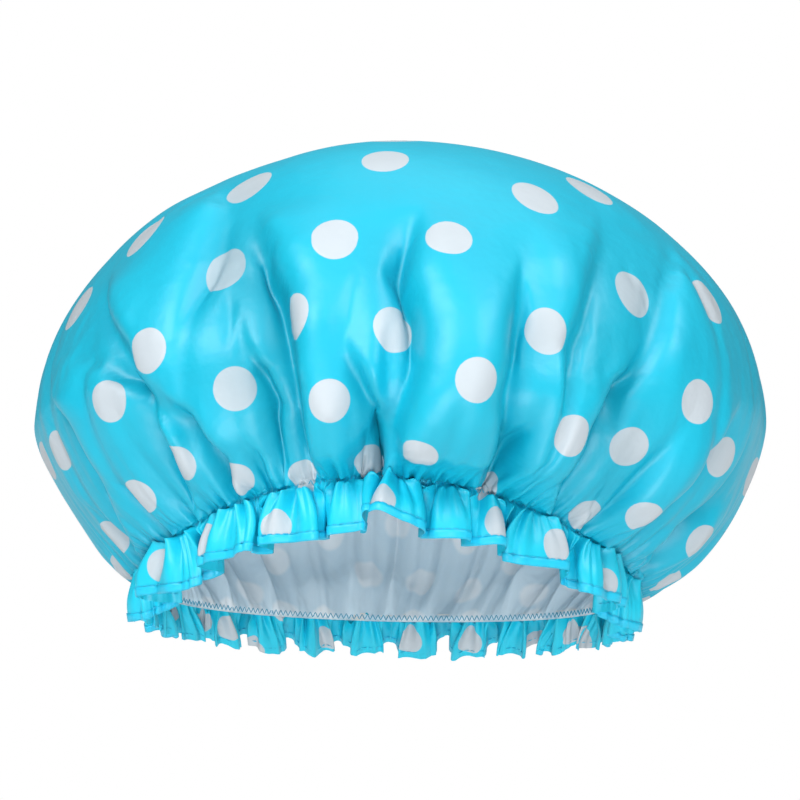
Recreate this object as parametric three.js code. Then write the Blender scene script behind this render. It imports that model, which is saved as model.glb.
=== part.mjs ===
// Satin shower cap with a waterproof lining, shaped as it stands when a head fills its opening.
// Millimetres. +X is the wearer's left seen from the front, -Y is the front, +Z is up.
// The origin is the centre of the elastic opening.
import * as THREE from 'three';
import { ParametricGeometry } from 'three/addons/geometries/ParametricGeometry.js';

const { clamp, degToRad, euclideanModulo, lerp, radToDeg, smoothstep } = THREE.MathUtils;
const FULL_TURN = 2 * Math.PI;

// Driving dimensions of the opening: the elastic stretched round an adult head of about 555 mm.
const OPENING_HALF_WIDTH = 86.5;
const OPENING_HALF_DEPTH = 85;
const FRONT_RISE = 27.9; // the front of the elastic stands this far above the centre, the back this far below
const RIGHT_DROP = 2; // its +X side stands this far below the centre, its -X side this far above
const SIDE_DROP = 6.3; // the sides sag below the plane through front and back
const FRONT_DIP = 1.1; // the front is drawn to a little peak

// Driving dimensions of the puffed crown.
const CROWN_CENTRE = new THREE.Vector3(4.2, 12, 52);
const CROWN_HALF_WIDTH = 130.9;
const CROWN_HALF_DEPTH = 119.5;
const CROWN_HEIGHT = 101.5; // above its widest level
const CROWN_LEAN = degToRad(12);
const UPPER_SHARE = 0.66; // share of a gore's length that lies above the widest level
const SHOULDER_SLACK = 0.1; // the -X side swells less above the widest level
const UNDERCUT_POWER = 1.12; // 1 turns in as a round arc towards the elastic, 2 as a straight cone
const UNDERCUT_SLACK = 0.42; // the -X side is straighter by this
const UNDERCUT_SLACK_RIGHT = 0.1; // and the +X side by this

// The crown's main creases. A path runs down from the tip in degrees round the cap and shares of a gore.
// depth is the valley's beside the crease, ridge the side that stands up (1 is the side of growing angles),
// and reach how far the cloth is drawn to each side.
const CREASES = [
  { path: [[-73, 0.6], [-63, 0.76], [-74, 1]], depth: 5, ridge: 1, reach: 12 },
  { path: [[-72, 0.58], [-51, 0.64], [-40, 0.8]], depth: 5, ridge: -1, reach: 12 },
  { path: [[-62, 0.46], [-44, 0.64], [-41, 0.78], [-46, 1]], depth: 7, ridge: 1, reach: 9 },
  { path: [[-59, 0.8], [-57, 1]], depth: 6, ridge: 1, reach: 8 },
  { path: [[-46, 0.29], [-36, 0.42], [-35, 0.54]], depth: 5, ridge: -1, reach: 14 },
  { path: [[-39, 0.72], [-30, 0.86], [-33, 1]], depth: 8, ridge: 1, reach: 10 },
  { path: [[-24, 0.6], [-18, 0.78], [-21, 1]], depth: 7, ridge: 1, reach: 10 },
  { path: [[-27, 0.4], [-16, 0.57], [-13, 0.78], [-14, 1]], depth: 11, ridge: 1, reach: 13 },
  { path: [[-8, 0.62], [-1, 0.78], [0, 1]], depth: 8, ridge: 1, reach: 12 },
  { path: [[4, 0.42], [5, 0.66], [3, 0.82], [4, 1]], depth: 12, ridge: 1, reach: 14 },
  { path: [[19, 0.52], [14, 0.74], [19, 1]], depth: 11, ridge: -1, reach: 12 },
  { path: [[23, 0.78], [26, 1]], depth: 7, ridge: 1, reach: 9 },
  { path: [[43, 0.38], [30, 0.53], [25, 0.74]], depth: 5, ridge: -1, reach: 14 },
  { path: [[41, 0.62], [32, 0.8], [37, 1]], depth: 11, ridge: -1, reach: 14 },
  { path: [[70, 0.38], [50, 0.54], [40, 0.72]], depth: 5, ridge: 1, reach: 14 },
  { path: [[52, 0.73], [50, 1]], depth: 5, ridge: 1, reach: 9 },
  { path: [[66, 0.68], [55, 0.87], [57, 1]], depth: 9, ridge: -1, reach: 14 },
  { path: [[83, 0.64], [69, 0.87], [82, 1]], depth: 5, ridge: -1, reach: 14 },
  { path: [[88, 0.77], [76, 0.88], [85, 1]], depth: 6, ridge: 1, reach: 9 },
  { path: [[99, 0.45], [98, 1]], depth: 5, ridge: -1, reach: 11 },
  { path: [[109, 0.6], [113, 1]], depth: 6, ridge: -1, reach: 12 },
  { path: [[131, 0.5], [126, 1]], depth: 8, ridge: -1, reach: 14 },
  { path: [[137, 0.52], [140, 1]], depth: 7, ridge: -1, reach: 11 },
  { path: [[152, 0.42], [150, 1]], depth: 8, ridge: -1, reach: 13 },
  { path: [[161, 0.58], [166, 1]], depth: 6, ridge: -1, reach: 10 },
  { path: [[180, 0.62], [178, 1]], depth: 6, ridge: -1, reach: 13 },
  { path: [[190, 0.66], [188, 1]], depth: 5, ridge: 1, reach: 11 },
  { path: [[199, 0.56], [199, 1]], depth: 8, ridge: 1, reach: 14 },
  { path: [[212, 0.48], [209, 1]], depth: 6, ridge: 1, reach: 12 },
  { path: [[220, 0.6], [223, 1]], depth: 6, ridge: 1, reach: 12 },
  { path: [[243, 0.52], [240, 1]], depth: 8, ridge: 1, reach: 14 },
  { path: [[258, 0.6], [261, 1]], depth: 7, ridge: 1, reach: 12 },
];
const CREASE_EDGE = 4; // half the width over which the cloth turns from ridge to valley
const RIDGE_SHARE = 0.75; // a ridge's height to its valley's depth
const CREASE_PEAK = 0.65; // the highest that the curve across a crease comes to
const CREASE_REACH = [[0, 1.25], [UPPER_SHARE, 1], [1, 0.45]]; // factors on a crease's reach down the gore
const CREASE_TIP = [-0.02, 0.16]; // a crease grows from its tip over this stretch of the gore
const CREASE_STOP = [-0.03, 0.12]; // and fades over this one where it stops above the elastic
const DRAWN_FLAT = { from: 0.8, by: 0.75 }; // near the elastic every crease is drawn flat by so much

// Driving dimensions of the ruffle, whose folds meet at these angles in degrees.
const RUFFLE_FOLDS = [
  -92, -68, -44.5, -28, -13.2, -4.6, 8.5, 18.7, 25.8, 44.2, 66, 89,
  104, 117, 132, 145, 158, 173, 186, 199, 213, 226, 241, 254,
];
const RUFFLE_FALL = 19.5; // from the elastic to the hem edge, along the cloth
const RUFFLE_DEPTH = 1.8;
const RUFFLE_DEPTH_BY_WIDTH = 0.16; // a fold deepens by this share of its width
const RUFFLE_DEPTH_FROM = [-2, 13]; // and reaches its depth over this fall below the elastic
const RUFFLE_CALM = 0.5; // how much shallower its folds are at the back
const TIGHTEST_FOLD = 110; // width squared over depth, in mm, which leaves room for hem and seams in a valley
const RUFFLE_SKEW = 0.4; // how much wider the outer faces of the folds are at the front than their valleys
const RUFFLE_TAKE_UP = 0.6; // how much of a wave's depth shortens its fall
const RUFFLE_HANG = 0.93; // how far the ruffle's direction keeps to the opening's axis
const RUFFLE_SIDE_HANG = 0.05; // how far it is drawn in at the sides
// How far it hangs to the rear, by the cosine of the angle: steeply down at the front, spread flat at the
// back.
const RUFFLE_FLARE = [[-1, 1.2], [-0.5, 1.1], [0, 0.8], [0.5, 0.35], [1, 0.2]];

// Driving dimensions of cloth, film, elastic and thread.
const SATIN = 0.8;
const FILM = 0.5;
const LINING_INSET = 2.4; // from the crown's middle to the lining's, over the top
const GAP = 0.35;
const SPLIT = 0.5; // slot between crown and ruffle on the gathering line
const ELASTIC_WIDTH = 3;
const GATHERED_HALF_WIDTH = 1.8; // the cloth lies flat on the elastic this far above and below its middle
const ELASTIC_THICKNESS = 0.6;
const ELASTIC_LAP = 14; // length over which the ends of the elastic overlap
const HEM_WIDTH = 3.6;
const HEM_THICKNESS = 0.5;
const HEM_GAP = 0.5; // the folded ruffle's facets twist, so its hem stands a little further off
const THREAD = 0.45;
const ZIGZAG_PITCH = 4;

// Columns of facets round the cap, and shares of a gore's length at which the dome's rings stand.
const CROWN_COLUMNS = 78;
const RUFFLE_COLUMNS = 6 * RUFFLE_FOLDS.length;
const GORE_ROWS = [0, 0.2, 0.38, 0.53, 0.66, 0.79, 0.91];

// Steps over which slopes are taken, in radians and shares: the smooth crown's, and the folded cloth's.
const FINE_STEP = 1e-3;
const CROWN_STEP = 0.03;
const RUFFLE_STEP = 0.02;

// Radial stack at the gathering line, from the satin's middle inwards.
const ELASTIC_OFFSET = -(SATIN / 2 + GAP + ELASTIC_THICKNESS / 2);
const LAP_STEP = ELASTIC_THICKNESS + GAP;
const TACK_THICKNESS = 0.3;
const TACK_OFFSET = ELASTIC_OFFSET - LAP_STEP - ELASTIC_THICKNESS / 2 - GAP - TACK_THICKNESS / 2;
const FILM_OFFSET = TACK_OFFSET - TACK_THICKNESS / 2 - GAP - FILM / 2;
const BOBBIN_OFFSET = FILM_OFFSET - FILM / 2 - GAP - THREAD / 2;
const NEEDLE_OFFSET = SATIN / 2 + GAP + THREAD / 2;

const CROWN_AXIS = new THREE.Vector3(0, Math.sin(CROWN_LEAN), Math.cos(CROWN_LEAN));
const OPENING_AXIS = new THREE.Vector3(
  RIGHT_DROP / OPENING_HALF_WIDTH,
  FRONT_RISE / OPENING_HALF_DEPTH,
  1,
).normalize();

// Unit vectors at an angle, away from the wearer's head and round it: 0 is the front, a quarter turn is +X.
const outward = (angle) => new THREE.Vector3(Math.sin(angle), -Math.cos(angle), 0);
const sideways = (angle) => new THREE.Vector3(Math.cos(angle), Math.sin(angle), 0);

// A value read off a hand-set curve, given as pairs of place and value in rising order.
function onCurve(curve, place) {
  const next = curve.findIndex(([at]) => at >= place);
  if (next === 0) return curve[0][1];
  if (next < 0) return curve[curve.length - 1][1];
  const [[from, low], [to, high]] = [curve[next - 1], curve[next]];
  return lerp(low, high, (place - from) / (to - from));
}

// The gathering line, which the elastic follows.
function gatheringLine(angle) {
  return new THREE.Vector3(
    OPENING_HALF_WIDTH * Math.sin(angle),
    -OPENING_HALF_DEPTH * Math.cos(angle),
    FRONT_RISE * Math.cos(angle) + SIDE_DROP * Math.cos(2 * angle)
      + FRONT_DIP * Math.cos(3 * angle) - RIGHT_DROP * Math.sin(angle),
  );
}

// A point beside the gathering line: so far outwards, and so far up along the opening's axis.
function besideLine(angle, out, up) {
  return gatheringLine(angle)
    .addScaledVector(outward(angle), out)
    .addScaledVector(OPENING_AXIS, up);
}

// The crown's widest level, an ellipse square to its leaning axis.
function widestLevel(angle) {
  const back = new THREE.Vector3(0, Math.cos(CROWN_LEAN), -Math.sin(CROWN_LEAN));
  return CROWN_CENTRE.clone()
    .addScaledVector(new THREE.Vector3(1, 0, 0), CROWN_HALF_WIDTH * Math.sin(angle))
    .addScaledVector(back, -CROWN_HALF_DEPTH * Math.cos(angle));
}

// The smooth crown without folds. share runs from 0 at the top to 1 at the upper edge of the gathered
// strip.
function smoothCrown(angle, share) {
  const widest = widestLevel(angle);
  const toLeft = Math.max(-Math.sin(angle), 0) ** 2;
  const toRight = Math.max(Math.sin(angle), 0) ** 2;
  if (share <= UPPER_SHARE) {
    const turn = (share / UPPER_SHARE) * (Math.PI / 2);
    return CROWN_CENTRE.clone()
      .addScaledVector(widest.sub(CROWN_CENTRE), Math.sin(turn) ** (1 + SHOULDER_SLACK * toLeft))
      .addScaledVector(CROWN_AXIS, CROWN_HEIGHT * Math.cos(turn));
  }
  const turn = ((share - UPPER_SHARE) / (1 - UPPER_SHARE)) * (Math.PI / 2);
  const foot = besideLine(angle, 0, GATHERED_HALF_WIDTH);
  const power = UNDERCUT_POWER + UNDERCUT_SLACK * toLeft + UNDERCUT_SLACK_RIGHT * toRight;
  const reach = widest.sub(foot);
  const rise = reach.dot(CROWN_AXIS);
  reach.addScaledVector(CROWN_AXIS, -rise);
  return foot
    .addScaledVector(reach, Math.abs(Math.cos(turn)) ** power)
    .addScaledVector(CROWN_AXIS, rise * (1 - Math.sin(turn) ** power));
}

// How far one crease is grown at a share of the gore: from nothing at its tip, and drawn flat again at the
// elastic or, where it stops on the crown, at its lower tip.
function creaseGrowth(path, share) {
  const [, tip] = path[0];
  const [, foot] = path[path.length - 1];
  const grown = smoothstep(share, tip + CREASE_TIP[0], tip + CREASE_TIP[1]);
  if (foot < 1) return grown * (1 - smoothstep(share, foot + CREASE_STOP[0], foot + CREASE_STOP[1]));
  return grown * (1 - DRAWN_FLAT.by * smoothstep(share, DRAWN_FLAT.from, 1));
}

// How far the creases lift the smooth crown, the ridges up and the valleys down.
function creaseLift(angle, share) {
  const chord = smoothCrown(angle + FINE_STEP, share).distanceTo(smoothCrown(angle - FINE_STEP, share));
  const pace = chord / (2 * FINE_STEP);
  const drawn = onCurve(CREASE_REACH, share);
  let lift = 0;
  for (const { path, depth, ridge, reach } of CREASES) {
    const middle = degToRad(onCurve(path.map(([at, along]) => [along, at]), share));
    const turn = euclideanModulo(angle - middle + Math.PI, FULL_TURN) - Math.PI;
    const across = turn * pace * ridge;
    const side = Math.tanh(across / CREASE_EDGE) * Math.exp(-Math.abs(across) / (reach * drawn));
    lift += (depth / CREASE_PEAK) * side * (across > 0 ? RIDGE_SHARE : 1) * creaseGrowth(path, share);
  }
  return lift;
}

function crownNormal(angle, share) {
  return share === 0 ? CROWN_AXIS : clothNormal(smoothCrown, angle, share, FINE_STEP);
}

function foldedCrown(angle, share) {
  return smoothCrown(angle, share).addScaledVector(crownNormal(angle, share), creaseLift(angle, share));
}

// Where the ruffle's fold of a given count begins, in degrees, going on round the cap past the last one.
function foldAt(count) {
  return RUFFLE_FOLDS[count % RUFFLE_FOLDS.length] + 360 * Math.floor(count / RUFFLE_FOLDS.length);
}

// The angle at a share of the way round the ruffle, on which each fold has as many columns.
function ruffleAngle(u) {
  const along = (1 - u) * RUFFLE_FOLDS.length;
  const fold = Math.floor(along);
  return degToRad(lerp(foldAt(fold), foldAt(fold + 1), along - fold));
}

// The phase of the ruffle's fold at an angle, and its width, which runs on evenly from one fold to the
// next.
function ruffleFold(angle) {
  const degrees = euclideanModulo(radToDeg(angle) - foldAt(0), 360) + foldAt(0);
  let fold = 0;
  while (foldAt(fold + 1) <= degrees) fold += 1;
  const along = (degrees - foldAt(fold)) / (foldAt(fold + 1) - foldAt(fold));
  const widths = [-1, 0, 1].map((step) => {
    const from = fold + step + RUFFLE_FOLDS.length;
    return degToRad(foldAt(from + 1) - foldAt(from)) * OPENING_HALF_WIDTH;
  });
  const width = onCurve([[-0.5, widths[0]], [0.5, widths[1]], [1.5, widths[2]]], along);
  return { phase: FULL_TURN * along, width };
}

// The ruffle: share runs from 0 at the gathering line to 1 at the hem edge. It lies along the opening's
// axis on the elastic and hangs free below it, more and more outwards towards the back.
const STRIP_SHARE = GATHERED_HALF_WIDTH / RUFFLE_FALL;
const HEM_TOP = 1 - HEM_WIDTH / RUFFLE_FALL;
function ruffleSurface(angle, share) {
  const strip = RUFFLE_FALL * Math.min(share, STRIP_SHARE);
  const free = RUFFLE_FALL * Math.max(share - STRIP_SHARE, 0);
  const flare = onCurve(RUFFLE_FLARE, Math.cos(angle));
  const hang = new THREE.Vector3(-RUFFLE_SIDE_HANG * Math.sin(angle), flare, 0)
    .addScaledVector(OPENING_AXIS, -RUFFLE_HANG)
    .normalize();
  const through = hang.clone().cross(sideways(angle)).normalize();
  const { phase, width } = ruffleFold(angle);
  const depth = Math.min(RUFFLE_DEPTH + RUFFLE_DEPTH_BY_WIDTH * width, width ** 2 / TIGHTEST_FOLD);
  const skew = RUFFLE_SKEW * clamp(2.5 * Math.cos(angle), -1, 1);
  const calm = 1 - RUFFLE_CALM * smoothstep(-Math.cos(angle), 0, 0.7);
  const grown = depth * calm * smoothstep(free, ...RUFFLE_DEPTH_FROM);
  const wave = -grown * Math.cos(phase + skew * Math.sin(phase));
  const drop = Math.sqrt(Math.max(free ** 2 - (RUFFLE_TAKE_UP * wave) ** 2, 0));
  return besideLine(angle, 0, -SPLIT / 2 - strip)
    .addScaledVector(hang, drop)
    .addScaledVector(through, free > 0 ? wave : 0);
}

// Normal of a cloth surface that faces away from the head, from its slopes over a step to each side.
function clothNormal(surface, angle, share, step) {
  const near = Math.min(Math.max(share, step), 1 - step);
  const round = surface(angle + step, near).sub(surface(angle - step, near));
  const down = surface(angle, near + step).sub(surface(angle, near - step));
  return down.cross(round).normalize();
}

// Turn the diagonals of a cloth's inner face, so that both of its faces fold along the same lines. Each
// face has so many rows of points: the outer face's come first, from the top down, and then the inner
// face's, from the bottom up.
function withMatchedFaces(geometry, columns, rows) {
  const index = geometry.index.array;
  for (let at = 6 * columns * rows; at < 6 * columns * (2 * rows - 1); at += 6) {
    const [a, b, d, , c] = index.slice(at, at + 6);
    index.set([a, b, c, a, c, d], at);
  }
  return geometry;
}

// A closed solid swept round the cap. outline(angle, corner) gives the corners of its cross-section in
// order, down its outer face and up its inner face.
function sweptRing(outline, corners, columns, angleAt = (u) => -FULL_TURN * u) {
  const place = (u, v, target) => {
    const corner = Math.round(v * corners) % corners;
    target.copy(outline(angleAt(u), corner));
  };
  return new ParametricGeometry(place, columns, corners);
}

// A ring of square-cornered section: width along the opening's axis, thickness outwards, at an offset from
// the line.
function bandOutline(centre, width, thickness) {
  return (angle, corner) => {
    const { out, up } = centre(angle);
    const side = corner < 2 ? 1 : -1;
    const end = corner === 0 || corner === 3 ? 1 : -1;
    return besideLine(angle, out + (side * thickness) / 2, up + (end * width) / 2);
  };
}

// A thread of three-sided section round a path given as a point and its outward normal.
function threadOutline(path) {
  return (angle, corner) => {
    const { point, normal } = path(angle);
    const turn = (-FULL_TURN * corner) / 3;
    return point
      .addScaledVector(normal, (THREAD / 2) * Math.cos(turn))
      .addScaledVector(OPENING_AXIS, (THREAD / 2) * Math.sin(turn));
  };
}

// A cloth dome of even thickness, closed at the top on both faces. insetAt(share) moves it inwards from the
// satin's middle, and footRows are the points of its lowest rows as distances out and up from the gathering
// line.
function clothDome(thickness, insetAt, footRows) {
  const rows = GORE_ROWS.length + footRows.length;
  const stacks = 2 * rows - 1;
  const place = (u, v, target) => {
    const step = Math.round(v * stacks);
    const inside = step >= rows;
    const row = inside ? stacks - step : step;
    const angle = -FULL_TURN * u;
    const shift = (inside ? -thickness : thickness) / 2;
    if (row >= GORE_ROWS.length) {
      const [out, up] = footRows[row - GORE_ROWS.length];
      target.copy(besideLine(angle, out + shift, up));
      return;
    }
    const share = GORE_ROWS[row];
    const across = row === 0 ? CROWN_AXIS : clothNormal(foldedCrown, angle, share, CROWN_STEP);
    target.copy(foldedCrown(angle, share))
      .addScaledVector(across, shift)
      .addScaledVector(crownNormal(angle, share), -insetAt(share));
  };
  return withMatchedFaces(new ParametricGeometry(place, CROWN_COLUMNS, stacks), CROWN_COLUMNS, rows);
}

function material(color, roughness, extra = {}) {
  return new THREE.MeshStandardMaterial({ color, roughness, metalness: 0, ...extra });
}

const satinMaterial = material(0x2fc4e8, 0.4);
const filmMaterial = material(0xb4c2d0, 0.35);
const elasticMaterial = material(0xf2f2f0, 0.85);
const threadMaterial = material(0x14a6cf, 0.6);

function named(name, geometry, look) {
  const mesh = new THREE.Mesh(geometry, look);
  mesh.name = name;
  return mesh;
}

function satinCrown() {
  const footRows = [[0, GATHERED_HALF_WIDTH], [0, SPLIT / 2]];
  return named('satin_crown', clothDome(SATIN, () => 0, footRows), satinMaterial);
}

function waterproofLining() {
  const inset = (share) => lerp(LINING_INSET, -FILM_OFFSET, smoothstep(share, DRAWN_FLAT.from, 1));
  const footRows = [[FILM_OFFSET, GATHERED_HALF_WIDTH + 1], [FILM_OFFSET, -ELASTIC_WIDTH / 2]];
  return named('waterproof_lining', clothDome(FILM, inset, footRows), filmMaterial);
}

function satinRuffle() {
  const rows = [0, STRIP_SHARE, HEM_TOP, 1];
  const outline = (angle, corner) => {
    const inside = corner >= rows.length;
    const share = rows[inside ? 2 * rows.length - 1 - corner : corner];
    const normal = share < HEM_TOP ? outward(angle) : clothNormal(ruffleSurface, angle, share, RUFFLE_STEP);
    return ruffleSurface(angle, share).addScaledVector(normal, (inside ? -SATIN : SATIN) / 2);
  };
  const ring = sweptRing(outline, 2 * rows.length, RUFFLE_COLUMNS, ruffleAngle);
  return named('satin_ruffle', withMatchedFaces(ring, RUFFLE_COLUMNS, rows.length), satinMaterial);
}

// A point standing off the ruffle's face along its own normal.
function offRuffle(angle, share, offset) {
  const normal = clothNormal(ruffleSurface, angle, share, RUFFLE_STEP);
  return { point: ruffleSurface(angle, share).addScaledVector(normal, offset), normal };
}

function hemBand() {
  const inner = SATIN / 2 + HEM_GAP;
  const outline = (angle, corner) => {
    const share = corner === 0 || corner === 3 ? HEM_TOP : 1;
    const offset = corner < 2 ? inner + HEM_THICKNESS : inner;
    return offRuffle(angle, share, offset).point;
  };
  const ring = sweptRing(outline, 4, RUFFLE_COLUMNS, ruffleAngle);
  return named('hem_band', withMatchedFaces(ring, RUFFLE_COLUMNS, 2), satinMaterial);
}

function hemThread(name, offset) {
  const path = (angle) => offRuffle(angle, HEM_TOP + 0.06, offset);
  return named(name, sweptRing(threadOutline(path), 3, RUFFLE_COLUMNS, ruffleAngle), threadMaterial);
}

// Zigzag of the gathering stitch, over the elastic's width.
function gatherThread(name, offset) {
  const perimeter = Math.PI * (OPENING_HALF_WIDTH + Math.hypot(OPENING_HALF_DEPTH, FRONT_RISE));
  const stitches = Math.round(perimeter / ZIGZAG_PITCH);
  const path = (angle) => {
    const step = Math.round((angle / FULL_TURN) * 2 * stitches);
    const up = (step % 2 ? 1 : -1) * (ELASTIC_WIDTH / 2 - THREAD);
    return { point: besideLine(angle, offset, up), normal: outward(angle) };
  };
  return named(name, sweptRing(threadOutline(path), 3, 2 * stitches), threadMaterial);
}

// The elastic is one strip: it starts at the back, goes once round and ends lapped on the inside of its
// start.
function elasticBand() {
  const columns = 100;
  const lapTurn = ELASTIC_LAP / Math.hypot(OPENING_HALF_DEPTH, FRONT_RISE);
  const place = (u, v, target) => {
    const along = Math.min(Math.max((u * (columns + 2) - 1) / columns, 0), 1);
    const angle = Math.PI + lapTurn / 2 - along * (FULL_TURN + lapTurn);
    const lapped = smoothstep(along, 1 - 3 / columns - lapTurn / FULL_TURN, 1 - lapTurn / FULL_TURN);
    const centre = () => ({ out: ELASTIC_OFFSET - LAP_STEP * lapped, up: 0 });
    const cap = Math.round(u * (columns + 2)) % (columns + 2) === 0;
    const scale = cap ? 0 : 1;
    const outline = bandOutline(centre, scale * ELASTIC_WIDTH, scale * ELASTIC_THICKNESS);
    target.copy(outline(angle, Math.round(v * 4) % 4));
  };
  return named('elastic_band', new ParametricGeometry(place, columns + 2, 4), elasticMaterial);
}

// The row of tacking stitches that holds the lapped ends of the elastic together, at the back.
function elasticTack() {
  const mesh = named('elastic_tack', new THREE.BoxGeometry(6, TACK_THICKNESS, 1.8), elasticMaterial);
  mesh.position.copy(besideLine(Math.PI, TACK_OFFSET, 0));
  return mesh;
}

const showerCap = new THREE.Group();
showerCap.add(
  satinCrown(),
  satinRuffle(),
  waterproofLining(),
  elasticBand(),
  elasticTack(),
  hemBand(),
  gatherThread('gather_needle_thread', NEEDLE_OFFSET),
  gatherThread('gather_bobbin_thread', BOBBIN_OFFSET),
  hemThread('hem_needle_thread', SATIN / 2 + HEM_GAP + HEM_THICKNESS + GAP + THREAD / 2),
  hemThread('hem_bobbin_thread', -(SATIN / 2 + GAP + THREAD / 2)),
);

export default showerCap;
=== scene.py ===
"""A puffed satin shower cap with white dots: its cover, lining, elastic, ruffle, hem and seams.

Lengths are millimetres unless a name says otherwise, and MM turns them into Blender's metres. An angle
round the cap is in radians, 0 at the front and a quarter turn at +X. A share runs along a gore, 0 at the
top and 1 at the gathering line. Cut coordinates are places on the flat disc of satin before it was
gathered.
"""

import logging
import math
from collections.abc import Callable, Mapping, Sequence
from dataclasses import dataclass, field
from enum import Enum
from functools import cached_property
from typing import Any

import bmesh
import bpy
import numpy as np
from mathutils import Matrix, Vector
from mathutils.bvhtree import BVHTree


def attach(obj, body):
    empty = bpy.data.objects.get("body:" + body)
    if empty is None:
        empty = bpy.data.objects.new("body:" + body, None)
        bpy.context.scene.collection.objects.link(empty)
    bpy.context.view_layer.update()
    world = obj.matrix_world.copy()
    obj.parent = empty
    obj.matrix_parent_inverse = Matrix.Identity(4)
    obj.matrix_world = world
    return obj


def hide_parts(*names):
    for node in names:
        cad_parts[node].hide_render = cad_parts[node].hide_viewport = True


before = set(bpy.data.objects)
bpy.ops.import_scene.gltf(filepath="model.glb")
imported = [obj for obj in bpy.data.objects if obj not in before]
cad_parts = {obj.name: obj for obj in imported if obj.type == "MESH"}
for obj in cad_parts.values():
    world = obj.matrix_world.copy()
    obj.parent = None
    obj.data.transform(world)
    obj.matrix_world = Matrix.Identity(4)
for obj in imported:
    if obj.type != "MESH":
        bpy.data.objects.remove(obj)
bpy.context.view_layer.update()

MM = 0.001
QUARTER = math.pi / 2
TURN = 2 * math.pi
ON_LINE = 0.5
BODY = "cap"
UP = np.array([0.0, 0.0, 1.0])
RIGHT = np.array([1.0, 0.0, 0.0])

Array = np.ndarray
Colour = tuple[float, float, float]
Pixel = tuple[float, float]

log = logging.getLogger("shower_cap")


def smoothstep(low: float, high: float, value: Array | float) -> Array:
    """Ease from 0 at low to 1 at high."""
    t = np.clip((np.asarray(value) - low) / (high - low), 0.0, 1.0)
    return t * t * (3.0 - 2.0 * t)


def unit(vectors: Array) -> Array:
    """Rows of an array made one long."""
    return vectors / (np.linalg.norm(vectors, axis=-1, keepdims=True) + 1e-12)


def outward(angles: Array) -> Array:
    """Level unit vectors away from the head, one row per angle."""
    return np.stack([np.sin(angles), -np.cos(angles), np.zeros_like(angles)], axis=-1)


class MaterialSlot(Enum):
    """The record's material slots."""

    SATIN = "satin"
    FILM = "film"
    THREAD = "thread"


class Side(Enum):
    """Which side of a crease stands over the valley on its other side."""

    LEFT = -1
    RIGHT = 1


@dataclass(frozen=True)
class PhotoView:
    """The photograph's view: level, square to the front, from a little over a metre away."""

    frame_px: float = 800.0
    mm_per_px: float = 0.36
    distance: float = 1200.0
    centre_x: float = 4.4
    centre_z: float = 61.0

    def eye(self) -> Array:
        """The camera's place."""
        return np.array([self.centre_x, -self.distance, self.centre_z])

    def project(self, points: Array) -> Array:
        """Where points land in the photograph, as rows of pixel coordinates."""
        scale = self.distance / ((self.distance + points[:, 1]) * self.mm_per_px)
        across = self.frame_px / 2 + (points[:, 0] - self.centre_x) * scale
        down = self.frame_px / 2 - (points[:, 2] - self.centre_z) * scale
        return np.stack([across, down], axis=-1)

    def ray(self, pixel: Pixel) -> Array:
        """The direction from the camera through a pixel."""
        across = (pixel[0] - self.frame_px / 2) * self.mm_per_px
        down = (pixel[1] - self.frame_px / 2) * self.mm_per_px
        return unit(np.array([across, self.distance, -down]))


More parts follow.
